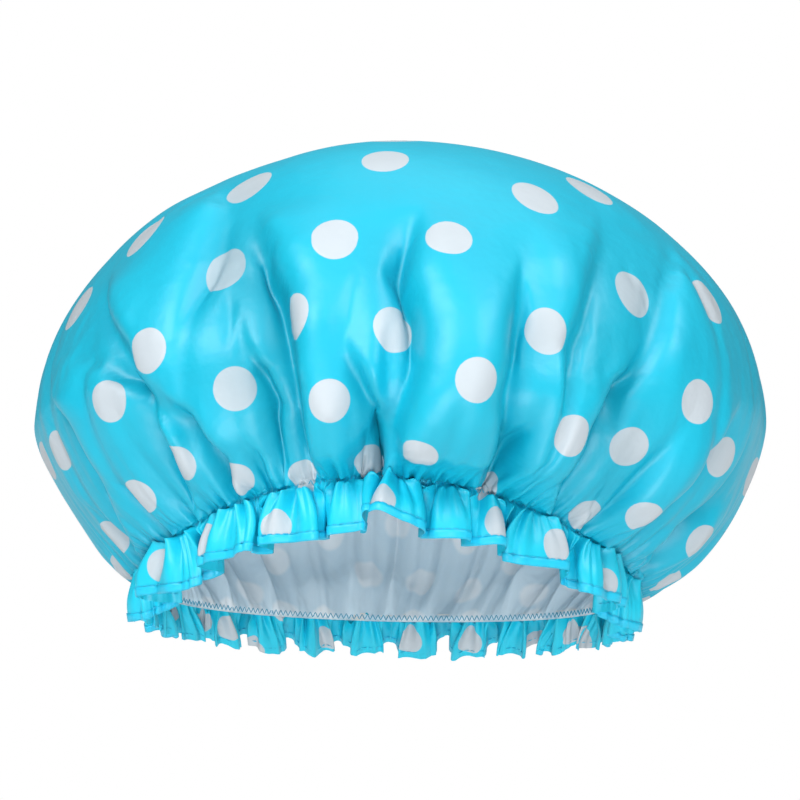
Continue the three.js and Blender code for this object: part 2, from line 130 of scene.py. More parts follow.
@dataclass(frozen=True)
class CapForm:
    """The smooth form of the worn cap, before its folds."""

    opening_half_width: float = 86.5
    opening_half_depth: float = 85.0
    front_rise: float = 27.9
    side_drop: float = 6.3
    front_dip: float = 1.1
    left_rise: float = 2.0
    crown_centre: tuple[float, float, float] = (4.2, 12.0, 52.0)
    crown_half_width: float = 130.9
    crown_half_depth: float = 119.5
    crown_height: float = 101.5
    crown_lean: float = math.radians(12.0)
    upper_share: float = 0.66
    undercut_power: float = 1.12
    undercut_left: float = 0.42
    undercut_right: float = 0.1
    shoulder_left: float = 0.1
    steeper_in_front: float = 1.0
    steeper_from: float = 0.35
    gore: float = 247.0
    ruffle_fall: float = 19.5
    slope_step: float = 1e-3

    @property
    def rim(self) -> float:
        """The radius of the cut disc."""
        return self.gore + self.ruffle_fall

    def crown_axis(self) -> Array:
        """The crown's axis, which leans back from +Z."""
        return np.array([0.0, math.sin(self.crown_lean), math.cos(self.crown_lean)])

    def opening_axis(self) -> Array:
        """The axis of the tilted opening."""
        slopes = (self.left_rise / self.opening_half_width, self.front_rise / self.opening_half_depth)
        return unit(np.array([*slopes, 1.0]))

    def gathering_line(self, angles: Array) -> Array:
        """Points of the line that the elastic follows."""
        rise = self.front_rise * np.cos(angles) + self.side_drop * np.cos(2 * angles)
        rise = rise + self.front_dip * np.cos(3 * angles) - self.left_rise * np.sin(angles)
        across = self.opening_half_width * np.sin(angles)
        return np.stack([across, -self.opening_half_depth * np.cos(angles), rise], axis=-1)

    def crown(self, angles: Array, shares: Array) -> Array:
        """Points of the smooth crown.

        Args:
            angles: Angles round the cap.
            shares: Shares of a gore, as many as angles.

        Returns:
            Rows of x, y, z.
        """
        centre, axis = np.array(self.crown_centre), self.crown_axis()
        back = np.array([0.0, axis[2], -axis[1]])
        widest = centre + self.crown_half_width * np.sin(angles)[:, None] * RIGHT
        widest = widest - self.crown_half_depth * np.cos(angles)[:, None] * back
        rise = np.clip(shares / self.upper_share, 0, 1) * math.pi / 2
        to_left = np.clip(-np.sin(angles), 0, None) ** 2
        to_right = np.clip(np.sin(angles), 0, None) ** 2
        spread = np.sin(rise) ** (1 + self.shoulder_left * to_left)
        upper = centre + spread[:, None] * (widest - centre)
        upper = upper + self.crown_height * np.cos(rise)[:, None] * axis
        turn = np.clip((shares - self.upper_share) / (1 - self.upper_share), 0, 1) * math.pi / 2
        power = self.undercut_power + self.undercut_left * to_left + self.undercut_right * to_right
        near_foot = smoothstep(self.steeper_from, 1.0, turn / QUARTER)
        steepness = power + self.steeper_in_front * near_foot * np.clip(np.cos(angles), 0, None) ** 2
        foot = self.gathering_line(angles)
        reach = widest - foot
        height = (reach @ axis)[:, None] * axis
        lower = foot + (np.clip(np.cos(turn), 0, 1) ** power)[:, None] * (reach - height)
        lower = lower + (1 - np.sin(turn) ** steepness)[:, None] * height
        return np.where((shares < self.upper_share)[:, None], upper, lower)

    def slopes(self, angles: Array, shares: Array) -> tuple[Array, Array]:
        """How the crown runs at given places.

        Args:
            angles: Angles round the cap.
            shares: Shares of a gore.

        Returns:
            Outward unit normals, and the tangents round the cap in mm per radian.
        """
        step = self.slope_step
        low, high = np.clip(shares - step, 0, 1), np.clip(shares + step, 0, 1)
        down = self.crown(angles, high) - self.crown(angles, low)
        around = (self.crown(angles + step, shares) - self.crown(angles - step, shares)) / (2 * step)
        normals = unit(np.cross(down, around))
        normals[shares < 1e-6] = self.crown_axis()
        return normals, around


@dataclass(frozen=True)
class Crease:
    """One fold of the crown: an edge that stands over a valley.

    The edge runs from its tip to its foot, in the photograph's pixels at the front and in degrees and
    shares at the back, which the photograph doesn't show. The depth is the valley's.
    """

    edge: tuple[Pixel, ...]
    depth: float
    over: Side
    reach: float


FRONT_CREASES = {
    "long_left_of_centre": Crease(
        ((255, 205), (274, 243), (290, 285), (301, 345), (310, 410), (325, 483)), 12.5, Side.RIGHT, 13
    ),
    "left_ridge": Crease(((238, 318), (262, 365), (280, 415), (292, 488)), 7.5, Side.RIGHT, 10),
    "far_left_long": Crease(
        ((112, 265), (130, 345), (148, 400), (170, 455), (207, 523)), 7.5, Side.RIGHT, 9
    ),
    "left_dart": Crease(((155, 390), (192, 422), (228, 460), (246, 503)), 8.5, Side.RIGHT, 10),
    "lower_left_dart": Crease(((105, 462), (135, 500), (180, 543)), 7, Side.RIGHT, 8),
    "left_edge": Crease(((50, 362), (75, 425), (102, 478), (158, 568)), 6, Side.RIGHT, 12),
    "pocket_left_of_centre": Crease(((340, 322), (362, 365), (384, 410), (387, 478)), 8.5, Side.RIGHT, 12),
    "centre": Crease(
        ((418, 205), (420, 275), (434, 325), (430, 370), (409, 425), (404, 478)), 12.5, Side.RIGHT, 14
    ),
    "short_at_centre": Crease(((452, 440), (440, 482)), 6, Side.RIGHT, 7),
    "right_of_centre": Crease(((518, 262), (502, 335), (488, 395), (474, 487)), 12, Side.LEFT, 12),
    "short_pocket": Crease(((540, 420), (520, 455), (500, 498)), 7.5, Side.RIGHT, 9),
    "high_right": Crease(((598, 208), (584, 270), (566, 345), (556, 400)), 6, Side.LEFT, 14),
    "right_diagonal": Crease(
        ((650, 345), (618, 385), (590, 430), (560, 478), (545, 513)), 12, Side.LEFT, 14
    ),
    "far_right_diagonal": Crease(
        ((737, 405), (722, 432), (698, 462), (655, 505), (600, 548)), 10, Side.LEFT, 14
    ),
    "right_edge": Crease(((757, 400), (735, 470), (680, 530), (625, 585)), 5, Side.LEFT, 14),
    "low_right": Crease(((700, 520), (660, 548), (618, 575)), 6, Side.LEFT, 8),
    "short_right": Crease(((620, 470), (600, 500), (578, 530)), 5, Side.LEFT, 8),
    "upper_left": Crease(((232, 178), (216, 205), (200, 240), (183, 285)), 6, Side.LEFT, 14),
    "across_left": Crease(((56, 348), (100, 366), (140, 398), (172, 440)), 5, Side.LEFT, 12),
    "low_far_left": Crease(((72, 490), (100, 516), (140, 552)), 4, Side.RIGHT, 9),
    "upper_right": Crease(((664, 232), (676, 290), (668, 345), (640, 400)), 5, Side.RIGHT, 14),
    "right_pocket": Crease(((690, 420), (672, 452), (640, 490), (600, 530)), 6, Side.RIGHT, 9),
    "low_far_right": Crease(((738, 492), (700, 530), (664, 562), (628, 588)), 7, Side.RIGHT, 9),
    "short_left": Crease(((240, 440), (262, 462), (280, 494)), 6, Side.RIGHT, 7),
    "short_left_of_centre": Crease(((357, 430), (352, 455), (350, 480)), 5, Side.LEFT, 7),
}

BACK_CREASES = (
    Crease(((99, 0.45), (98, 1)), 5, Side.LEFT, 11),
    Crease(((109, 0.6), (113, 1)), 6, Side.LEFT, 12),
    Crease(((131, 0.5), (126, 1)), 8, Side.LEFT, 14),
    Crease(((137, 0.52), (140, 1)), 7, Side.LEFT, 11),
    Crease(((152, 0.42), (150, 1)), 8, Side.LEFT, 13),
    Crease(((161, 0.58), (166, 1)), 6, Side.LEFT, 10),
    Crease(((180, 0.62), (178, 1)), 6, Side.LEFT, 13),
    Crease(((190, 0.66), (188, 1)), 5, Side.RIGHT, 11),
    Crease(((199, 0.56), (199, 1)), 8, Side.RIGHT, 14),
    Crease(((212, 0.48), (209, 1)), 6, Side.RIGHT, 12),
    Crease(((220, 0.6), (223, 1)), 6, Side.RIGHT, 12),
    Crease(((243, 0.52), (240, 1)), 8, Side.RIGHT, 14),
    Crease(((258, 0.6), (261, 1)), 7, Side.RIGHT, 12),
)

# Families of pleats round the cap: how many, how deep, and how far from the gathering line they fade.
FINE_PLEATS = ((187, 1.0, 8.0), (121, 1.1, 15.0), (83, 0.9, 24.0))
BROAD_FOLDS = ((76, 1.8, 24.0), (52, 2.6, 36.0), (33, 2.1, 52.0))

# Waves round the cap, each with its count, its size and its phase: how the gathers wander aside, and how
# much deeper or shallower the ruffle is than its mean.
GATHERS_WANDER = ((5, 1.0, 0.0), (11, 0.7, 1.0), (23, 0.5, 2.0))
RUFFLE_VARIES = ((5, 0.2, 1.0), (9, 0.15, 0.0))

# Degrees round the cap where one face of the ruffle meets the next.
RUFFLE_FOLDS = (
    -92, -68, -44.5, -28, -13.2, -4.6, 8.5, 18.7, 25.8, 44.2, 66, 89,
    104, 117, 132, 145, 158, 173, 186, 199, 213, 226, 241, 254,
)

# How far the ruffle hangs to the back, from behind, where the cosine is -1, to the front, where it is 1.
RUFFLE_HANGS_BACK = ((-1.0, 1.2), (-0.5, 1.1), (0.0, 0.8), (0.5, 0.35), (1.0, 0.2))

# Where the ruffle swings outwards: the middle and the width in degrees, and how much.
RUFFLE_SWINGS = ((-2.0, 4.0, 0.85), (-32.0, 5.0, 0.25), (24.0, 5.0, 0.2), (46.0, 7.0, 0.25))

DOTS_ON_CROWN: tuple[Pixel, ...] = (
    (385, 160), (395, 140), (590, 190), (249, 187), (534, 197), (145, 235), (334, 238), (448, 236),
    (225, 270), (78, 308), (294, 316), (394, 329), (633, 293), (709, 301), (547, 331), (147, 350),
    (235, 389), (478, 381), (108, 400), (330, 400), (698, 402), (574, 436), (629, 447), (60, 451),
    (178, 464), (417, 458), (369, 462), (722, 457), (140, 497), (236, 480), (305, 477), (484, 485),
    (586, 516), (644, 518), (112, 537), (702, 543),
)
DOTS_ON_FRONT_RUFFLE: tuple[Pixel, ...] = (
    (163, 565), (205, 540), (275, 525), (380, 497), (500, 522), (558, 545), (605, 583),
)
DOTS_INSIDE_BACK_RUFFLE: tuple[Pixel, ...] = (
    (172, 613), (231, 629), (329, 638), (409, 639), (470, 640), (537, 641),
)


def triples(data: Any, key: str) -> Array:
    """Three numbers of each entry of a mesh's data, as rows."""
    flat = np.empty(len(data) * 3, dtype=np.float32)
    data.foreach_get(key, flat)
    return flat.reshape(-1, 3).astype(float)


def positions(mesh: bpy.types.Mesh) -> Array:
    """A mesh's points in millimetres, as rows."""
    return triples(mesh.vertices, "co") / MM


def normals_of(mesh: bpy.types.Mesh) -> Array:
    """A mesh's point normals, as rows."""
    return triples(mesh.vertices, "normal")


def cut_of(mesh: bpy.types.Mesh) -> Array:
    """A mesh's cut coordinates, as rows."""
    return triples(mesh.attributes["cut"].data, "vector")


def move_points(mesh: bpy.types.Mesh, points: Array) -> None:
    """Put a mesh's points at places in millimetres."""
    mesh.vertices.foreach_set("co", (points * MM).astype(np.float32).ravel())
    mesh.update()


def keep_values(mesh: bpy.types.Mesh, name: str, values: Array) -> None:
    """Keep one number for each of a mesh's points as an attribute."""
    attribute = mesh.attributes.new(name, "FLOAT", "POINT")
    attribute.data.foreach_set("value", values.astype(np.float32))


def mesh_of(bm: bmesh.types.BMesh, name: str) -> bpy.types.Mesh:
    """Turn a bmesh into a mesh, and free it."""
    mesh = bpy.data.meshes.new(name)
    bm.to_mesh(mesh)
    bm.free()
    return mesh


def polar(cut: Array) -> tuple[Array, Array]:
    """Angles and radii of cut coordinates."""
    return np.arctan2(cut[:, 0], -cut[:, 1]), np.hypot(cut[:, 0], cut[:, 1])


def rippled(angles: Array, parts: Sequence[tuple[int, float, float]]) -> Array:
    """Sine waves added up round the cap, each with its count, its size and its phase."""
    return sum(size * np.sin(count * angles + phase) for count, size, phase in parts)


def looked_up(grid: Array, row: Array, column: Array) -> Array:
    """Values between the places of a grid whose columns go all the way round.

    Args:
        grid: Values, or rows of values, by row and column.
        row: Wanted rows, with fractions.
        column: Wanted columns, with fractions.

    Returns:
        One value, or row of values, for each wanted place.
    """
    low, left = np.clip(np.floor(row).astype(int), 0, len(grid) - 2), np.floor(column).astype(int)
    shape = (-1,) + (1,) * (grid.ndim - 2)
    down, over = (row - low).reshape(shape), (column - left).reshape(shape)
    left, right = left % grid.shape[1], (left + 1) % grid.shape[1]
    upper = grid[low, left] * (1 - over) + grid[low, right] * over
    lower = grid[low + 1, left] * (1 - over) + grid[low + 1, right] * over
    return upper * (1 - down) + lower * down


def without_points(mesh: bpy.types.Mesh, unwanted: Array) -> bpy.types.Mesh:
    """A copy of a mesh without the points that are marked as unwanted."""
    bm = bmesh.new()
    bm.from_mesh(mesh)
    bmesh.ops.delete(bm, geom=[vert for vert in bm.verts if unwanted[vert.index]], context="VERTS")
    rest = mesh.copy()
    bm.to_mesh(rest)
    bm.free()
    return rest


def shown_object(mesh: bpy.types.Mesh, name: str, material: bpy.types.Material) -> bpy.types.Object:
    """Make a smooth object of a mesh whose points are in place, with one material."""
    mesh.name = name
    mesh.materials.clear()
    mesh.materials.append(material)
    mesh.shade_smooth()
    made = bpy.data.objects.new(name, mesh)
    bpy.context.scene.collection.objects.link(made)
    return made


def piece_of(
    mesh: bpy.types.Mesh, name: str, material: bpy.types.Material, node: str
) -> bpy.types.Object:
    """Make a visible piece of the cap.

    Args:
        mesh: The mesh, whose points are already in place.
        name: The piece's name.
        material: Its finish.
        node: The CAD node that it stands for.

    Returns:
        The piece, which rides on the cap.
    """
    piece = shown_object(mesh, name, material)
    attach(piece, BODY)
    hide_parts(node)
    return piece


def applied(thing: bpy.types.Object) -> bpy.types.Mesh:
    """The mesh that an object's modifiers make, as a mesh of its own; the object is removed."""
    graph = bpy.context.evaluated_depsgraph_get()
    mesh = bpy.data.meshes.new_from_object(thing.evaluated_get(graph))
    bpy.data.objects.remove(thing)
    return mesh


def with_modifier(mesh: bpy.types.Mesh, kind: str, **settings: Any) -> bpy.types.Mesh:
    """Run a modifier on a mesh and apply it.

    Args:
        mesh: The mesh to start from.
        kind: The modifier's type.
        settings: What is set on it.

    Returns:
        A new mesh.
    """
    holder = bpy.data.objects.new("holder", mesh)
    bpy.context.scene.collection.objects.link(holder)
    modifier = holder.modifiers.new(kind.lower(), kind)
    for key, value in settings.items():
        setattr(modifier, key, value)
    return applied(holder)


@dataclass(frozen=True)
class CutDisc:
    """A flat disc of cloth, meshed in rings that double their columns outwards."""

    name: str
    ring_radii: tuple[float, ...]
    first_columns: int = 24
    most_columns: int = 384
    widest_face: float = 4.0

    def mesh(self) -> bpy.types.Mesh:
        """Make the disc lying flat, facing up, with its cut coordinates kept as an attribute.

        Returns:
            A mesh in metres, whose point attribute "cut" is in millimetres.
        """
        bm = bmesh.new()
        columns, first_radius = self.first_columns, self.ring_radii[0] * MM
        bmesh.ops.create_circle(bm, cap_ends=True, cap_tris=True, segments=columns, radius=first_radius)
        for radius in self.ring_radii[1:]:
            rim = [edge for edge in bm.edges if edge.is_boundary]
            inner = rim[0].verts[0].co.length
            if columns < self.most_columns and TURN * radius / columns > self.widest_face:
                bmesh.ops.subdivide_edges(bm, edges=rim, cuts=1)
                columns *= 2
                rim = [edge for edge in bm.edges if edge.is_boundary]
                for vert in {vert for edge in rim for vert in edge.verts}:
                    vert.co = vert.co.normalized() * inner
            made = bmesh.ops.extrude_edge_only(bm, edges=rim)["geom"]
            for vert in made:
                if isinstance(vert, bmesh.types.BMVert):
                    vert.co = vert.co.normalized() * radius * MM
        bmesh.ops.recalc_face_normals(bm, faces=bm.faces)
        bm.normal_update()
        if bm.faces[0].normal.z < 0:
            bmesh.ops.reverse_faces(bm, faces=bm.faces)
        mesh = mesh_of(bm, self.name)
        cut = mesh.attributes.new("cut", "FLOAT_VECTOR", "POINT")
        cut.data.foreach_set("vector", positions(mesh).ravel())
        return mesh


@dataclass(frozen=True)
class FoldField:
    """How the creases lift and sink the smooth crown, and how the ruffle waves."""

    form: CapForm
    view: PhotoView
    seen_to: float = 110.0
    crease_peak: float = 0.72
    ridge_share: float = 0.55
    ridge_rise: float = 0.45
    ridge_fall: float = 2.0
    valley_fall: float = 1.4
    lean_width: float = 0.5
    tip_from: float = 0.02
    tip_to: float = 0.13
    foot_from: float = 0.03
    foot_to: float = 0.12
    reaches_line_from: float = 0.9
    weaker_from: float = 0.85
    weaker_over: float = 0.15
    weaker_by: float = 0.9
    reach_at: tuple[float, ...] = (0.0, 0.66, 1.0)
    reach_there: tuple[float, ...] = (1.25, 1.0, 0.45)
    edge_sharpness: float = 2.4
    crisp_edge: float = 0.9
    crispness: float = 0.3
    overlap: float = 0.2
    raised_foot: float = 3.2
    raised_foot_rise: float = 3.0
    raised_foot_fall: float = 20.0
    raised_pleats: float = 0.5
    broad_onset: float = 5.0
    pleated_outwards: float = 4.0
    crown_pleats: float = 1.1
    ruffle_pleats: float = 2.1
    ruffle_depth: float = 2.8
    ruffle_depth_share: float = 0.2
    ruffle_grows: tuple[float, float] = (-2.0, 15.0)
    ruffle_lost: float = 0.6
    ruffle_roll: float = 0.19
    ruffle_hang: float = 0.93
    calm_at_back: float = 0.3
    calm_at_side: float = 0.45
    # Valley and pleat depths at which the painted shade is at its darkest.
    valley_depth_for_full_shade: float = 11.0
    pleat_depth_for_full_shade: float = 1.6

    @cached_property
    def paths(self) -> list[tuple[Array, Array, Crease]]:
        """Each crease as angles and shares from its tip down."""
        degrees = np.arange(-self.seen_to, self.seen_to + 0.01, 0.5)
        angles, shares = np.meshgrid(np.radians(degrees), np.linspace(0.02, 1, 197), indexing="ij")
        angles, shares = angles.ravel(), shares.ravel()
        points = self.form.crown(angles, shares)
        normals, _ = self.form.slopes(angles, shares)
        seen = np.einsum("ij,ij->i", normals, points - self.view.eye()) < 0
        angles, shares, pixels = angles[seen], shares[seen], self.view.project(points[seen])
        found = []
        for crease in FRONT_CREASES.values():
            nearest = [int(np.argmin(np.sum((pixels - np.array(p)) ** 2, axis=1))) for p in crease.edge]
            order = np.argsort(shares[nearest])
            found.append((angles[nearest][order], shares[nearest][order], crease))
        for crease in BACK_CREASES:
            degrees, down = np.array(crease.edge).T
            found.append((np.radians(degrees), down, crease))
        return found

    def relief(
        self, angles: Array, shares: Array, pace: Array, sharpness: float
    ) -> tuple[Array, Array]:
        """What all the creases do together: a broad puff falls steeply into the valley beside its edge.

        Args:
            angles: Angles round the cap.
            shares: Shares of a gore.
            pace: Millimetres round the crown per radian.
            sharpness: The half width of the fall.

        Returns:
            How far the cloth lifts, and how far it leans over the valleys.
        """
        lift, shift = np.zeros_like(shares), np.zeros_like(shares)
        for path_angles, path_shares, crease in self.paths:
            middle = np.interp(shares, path_shares, path_angles)
            apart = (angles - middle + math.pi) % TURN - math.pi
            across = apart * pace * crease.over.value
            tip, foot = path_shares[0], path_shares[-1]
            grown = smoothstep(tip - self.tip_from, tip + self.tip_to, shares)
            if foot > self.reaches_line_from:
                near_line = np.clip((shares - self.weaker_from) / self.weaker_over, 0, 1)
                ending = 1 - self.weaker_by * near_line**2
            else:
                ending = 1 - smoothstep(foot - self.foot_from, foot + self.foot_to, shares)
            reach = crease.reach * np.interp(shares, self.reach_at, self.reach_there)
            away = np.abs(across)
            ridge = np.tanh(away / (self.ridge_rise * reach)) * np.exp(-away / (self.ridge_fall * reach))
            valley = np.tanh(away / sharpness) * np.exp(-away / (self.valley_fall * reach))
            height = crease.depth / self.crease_peak * grown * ending
            lift += height * np.where(across > 0, self.ridge_share * ridge, -valley)
            lean = np.exp(-((across / (self.lean_width * reach)) ** 2)) * grown * ending
            shift -= crease.over.value * crease.depth * lean
        return lift, shift

    def gathers(self, angles: Array, beside: Array, fine: bool) -> Array:
        """Pleats that fan out from the gathering line and merge into each other.

        Args:
            angles: Angles round the cap.
            beside: Distances along the cloth from the gathering line.
            fine: Whether the fine pleats are wanted, or the broad folds.

        Returns:
            How far the cloth lifts.
        """
        wander = rippled(angles, GATHERS_WANDER)
        raised = self.raised_pleats if fine else 0.0
        onset = 1.0 if fine else 1 - np.exp(-beside / self.broad_onset)
        lift = np.zeros_like(angles)
        for count, depth, decay in FINE_PLEATS if fine else BROAD_FOLDS:
            local = 1 + 0.35 * np.sin(13 * angles + count)
            rounded = 2 * np.abs(np.sin((count * angles + 1.3 * wander) / 2)) - 4 / math.pi + raised
            lift += depth * local * rounded * np.exp(-beside / decay) * onset
        return lift

    def crown_points(self, angles: Array, shares: Array) -> Array:
        """The crown with its folds.

        Args:
            angles: Angles round the cap.
            shares: Shares of a gore.

        Returns:
            Rows of x, y, z.
        """
        normals, around = self.form.slopes(angles, shares)
        pace = np.linalg.norm(around, axis=1)
        lift, shift = self.relief(angles, shares, pace, self.edge_sharpness)
        beside = (1 - shares) * self.form.gore
        lift = lift + self.gathers(angles, beside, fine=False)
        near = smoothstep(4.0, 40.0, beside)[:, None]
        aside = unit(near * normals + (1 - near) * (outward(angles) + 0.3 * self.form.opening_axis()))
        in_front = 1 - 0.6 * smoothstep(0.0, 0.7, -np.cos(angles))
        raised = self.raised_foot * (1 - np.exp(-beside / self.raised_foot_rise))
        raised = raised * np.exp(-beside / self.raised_foot_fall) * in_front
        points = self.form.crown(angles, shares) + lift[:, None] * aside
        return points + raised[:, None] * UP + self.overlap * shift[:, None] * unit(around)

    def wave_phase(self, angles: Array) -> tuple[Array, Array]:
        """The ruffle's waves, which turn once between the folds where one face meets the next.

        Args:
            angles: Angles round the cap.

        Returns:
            The waves' phase, and their pitch in millimetres.
        """
        edges = [*RUFFLE_FOLDS, RUFFLE_FOLDS[0] + 360]
        turned = (np.degrees(angles) - edges[0]) % 360 + edges[0]
        phase = TURN * np.interp(turned, edges, np.arange(len(edges)))
        middles = (np.array(edges[1:]) + np.array(edges[:-1])) / 2
        pitches = np.radians(np.diff(edges)) * self.form.opening_half_width
        return phase, np.interp(turned, middles, pitches, period=360)

    def ruffle_points(self, angles: Array, falls: Array) -> Array:
        """The ruffle below the gathering line.

        Args:
            angles: Angles round the cap.
            falls: Distances down the cloth from the gathering line.

        Returns:
            Rows of x, y, z.
        """
        phase, pitch = self.wave_phase(angles)
        front, to_side = np.cos(angles), np.sin(angles)
        beside = np.stack([front, to_side, np.zeros_like(angles)], axis=-1)
        back = np.interp(front, *np.array(RUFFLE_HANGS_BACK).T)
        flare = np.stack([-0.05 * to_side, back, np.zeros_like(back)], axis=-1)
        swung = sum(
            amount * np.exp(-(((np.degrees(angles) - middle) / width) ** 2))
            for middle, width, amount in RUFFLE_SWINGS
        )
        down = self.ruffle_hang * self.form.opening_axis()
        hang = unit(flare - down + swung[:, None] * outward(angles))
        through = unit(np.cross(hang, beside))
        grown = smoothstep(*self.ruffle_grows, falls)
        local = 1 + rippled(angles, RUFFLE_VARIES)
        calm = 1 - self.calm_at_back * smoothstep(0.0, 0.7, -front)
        at_side = 1 - self.calm_at_side * to_side**2
        depth = (self.ruffle_depth + self.ruffle_depth_share * pitch) * local * at_side * grown * calm
        outer = np.clip(2.5 * front, -1, 1)
        wave = -np.cos(phase + 0.6 * outer * np.sin(phase)) + 0.2 * np.sin(2 * phase + 3 * angles)
        rolled = 0.5 * np.sin(2 * phase) - outer * np.sin(phase)
        roll = self.ruffle_roll * pitch * grown * calm * rolled
        drop = np.sqrt(np.clip(falls**2 - (self.ruffle_lost * wave * depth) ** 2, 0, None))
        points = self.form.gathering_line(angles) + drop[:, None] * hang
        return points + (wave * depth)[:, None] * through + roll[:, None] * beside

    def points(self, cut: Array) -> Array:
        """Places of cut coordinates on the folded cap, as rows of x, y, z."""
        angles, radii = polar(cut)
        crown = self.crown_points(angles, np.clip(radii / self.form.gore, 0, 1))
        falls = np.clip(radii - self.form.gore, 0, None)
        points = np.where((falls > 1e-3)[:, None], self.ruffle_points(angles, falls), crown)
        on_line = np.abs(radii - self.form.gore) < ON_LINE
        points[on_line] = self.form.gathering_line(angles[on_line])
        return points

    def crisped(self, points: Array, normals: Array, cut: Array) -> Array:
        """Sharpen the creases of the settled cloth, and draw its fine pleats.

        Args:
            points: Where the cloth settled.
            normals: Its normals there.
            cut: Its cut coordinates.

        Returns:
            The sharpened places.
        """
        angles, radii = polar(cut)
        shares = np.clip(radii / self.form.gore, 0, 1)
        smooth, around = self.form.slopes(angles, shares)
        pace = np.linalg.norm(around, axis=1)
        sharp, _ = self.relief(angles, shares, pace, self.crisp_edge)
        soft, _ = self.relief(angles, shares, pace, self.edge_sharpness)
        crisp = self.crispness * (sharp - soft) * (radii < self.form.gore)
        beside = np.abs(radii - self.form.gore)
        pleats = self.gathers(angles, beside, fine=True)
        pleats = pleats * (0.3 + 0.7 * smoothstep(0.3, 2.5, beside))
        pleats = pleats * np.where(radii > self.form.gore, self.ruffle_pleats, self.crown_pleats)
        near = smoothstep(0.0, self.pleated_outwards, beside)[:, None]
        aside = unit(near * normals + (1 - near) * outward(angles))
        return points + crisp[:, None] * smooth + pleats[:, None] * aside

    def painted_valley_shade(self, cut: Array) -> Array:
        """How deep each of some cut coordinates lies in a valley, from 0 to 1: the share of painted shade
        that darkens the satin's colour there.
        """
        angles, radii = polar(cut)
        shares = np.clip(radii / self.form.gore, 0, 1)
        _, around = self.form.slopes(angles, shares)
        lift, _ = self.relief(angles, shares, np.linalg.norm(around, axis=1), self.edge_sharpness)
        beside = np.abs(radii - self.form.gore)
        lift = (lift + self.gathers(angles, beside, fine=False)) * (radii < self.form.gore)
        pleats = self.gathers(angles, beside, fine=True)
        pleat_shade = np.clip(-pleats / self.pleat_depth_for_full_shade, 0, 0.8)
        return np.clip(np.clip(-lift / self.valley_depth_for_full_shade, 0, 1) + pleat_shade, 0, 1)


@dataclass(frozen=True)
class ClothRun:
    """A cloth simulation in which the crown finds its own folds, held from the gathering line down."""

    frames: int = 20
    scale: float = 10.0
    gathered_in: float = 0.06
    profile_steps: int = 400
    gravity: float = 0.15
    quality: int = 6
    point_mass: float = 0.15
    stiffness: float = 80.0
    shear: float = 8.0
    bending: float = 0.6
    damping: float = 5.0
    bending_damping: float = 0.5
    air_damping: float = 4.0
    pressure: float = 1.5

    def cut_bowl(self, cut: Array, gore: float) -> Array:
        """The flat disc drawn in a little towards its rim, which sets the cloth's own lengths."""
        angles, radii = polar(cut)
        fine = np.linspace(0, radii.max(), self.profile_steps)
        drawn = fine * (1 - self.gathered_in * (fine / gore) ** 2)
        fall = np.sqrt(np.clip(1 - np.gradient(drawn, fine) ** 2, 0, None))
        depth = np.concatenate([[0], np.cumsum((fall[1:] + fall[:-1]) / 2 * np.diff(fine))])
        level = outward(angles) * np.interp(radii, fine, drawn)[:, None]
        return level - np.interp(radii, fine, depth)[:, None] * UP

    def add_modifier(self, cloth: bpy.types.Object, held: str, lengths: bpy.types.ShapeKey) -> None:
        """Make an object a cloth.

        Args:
            cloth: The object.
            held: The name of the point group that doesn't move.
            lengths: The shape with the cloth's own lengths.
        """
        modifier = cloth.modifiers.new("cloth", "CLOTH")
        settings = modifier.settings
        settings.vertex_group_mass = held
        settings.rest_shape_key = lengths
        settings.quality = self.quality
        settings.mass = self.point_mass
        settings.tension_stiffness = settings.compression_stiffness = self.stiffness
        settings.shear_stiffness = self.shear
        settings.bending_stiffness = self.bending
        for kind in ("tension", "compression", "shear"):
            setattr(settings, f"{kind}_damping", self.damping)
        settings.bending_damping = self.bending_damping
        settings.air_damping = self.air_damping
        settings.use_pressure = True
        settings.uniform_pressure_force = self.pressure
        settings.effector_weights.gravity = self.gravity
        modifier.collision_settings.use_collision = False
        modifier.collision_settings.use_self_collision = False
        modifier.point_cache.frame_start = 1
        modifier.point_cache.frame_end = self.frames

    def settle(self, mesh: bpy.types.Mesh, start: Array, cut: Array, gore: float) -> Array:
        """Run the cloth.

        Args:
            mesh: The disc's mesh, which gives the faces.
            start: Where its points start.
            cut: Its cut coordinates.
            gore: The cut radius of the gathering line.

        Returns:
            Where its points come to, in millimetres.
        """
        working = mesh.copy()
        move_points(working, start * self.scale)
        cloth = bpy.data.objects.new("settling_satin", working)
        bpy.context.scene.collection.objects.link(cloth)
        cloth.shape_key_add(name="Basis")
        lengths = cloth.shape_key_add(name="lengths")
        rest = self.cut_bowl(cut, gore) * self.scale * MM
        lengths.data.foreach_set("co", rest.astype(np.float32).ravel())
        lengths.value = 0.0
        held = cloth.vertex_groups.new(name="gathering_line")
        below = np.hypot(cut[:, 0], cut[:, 1]) > gore - ON_LINE
        held.add([int(i) for i in np.flatnonzero(below)], 1.0, "REPLACE")
        self.add_modifier(cloth, held.name, lengths)
        for number in range(1, self.frames + 1):
            bpy.context.scene.frame_set(number)
        settled = applied(cloth)
        bpy.context.scene.frame_set(1)
        places = triples(settled.vertices, "co") / (self.scale * MM)
        bpy.data.meshes.remove(settled)
        bpy.data.meshes.remove(working)
        return places


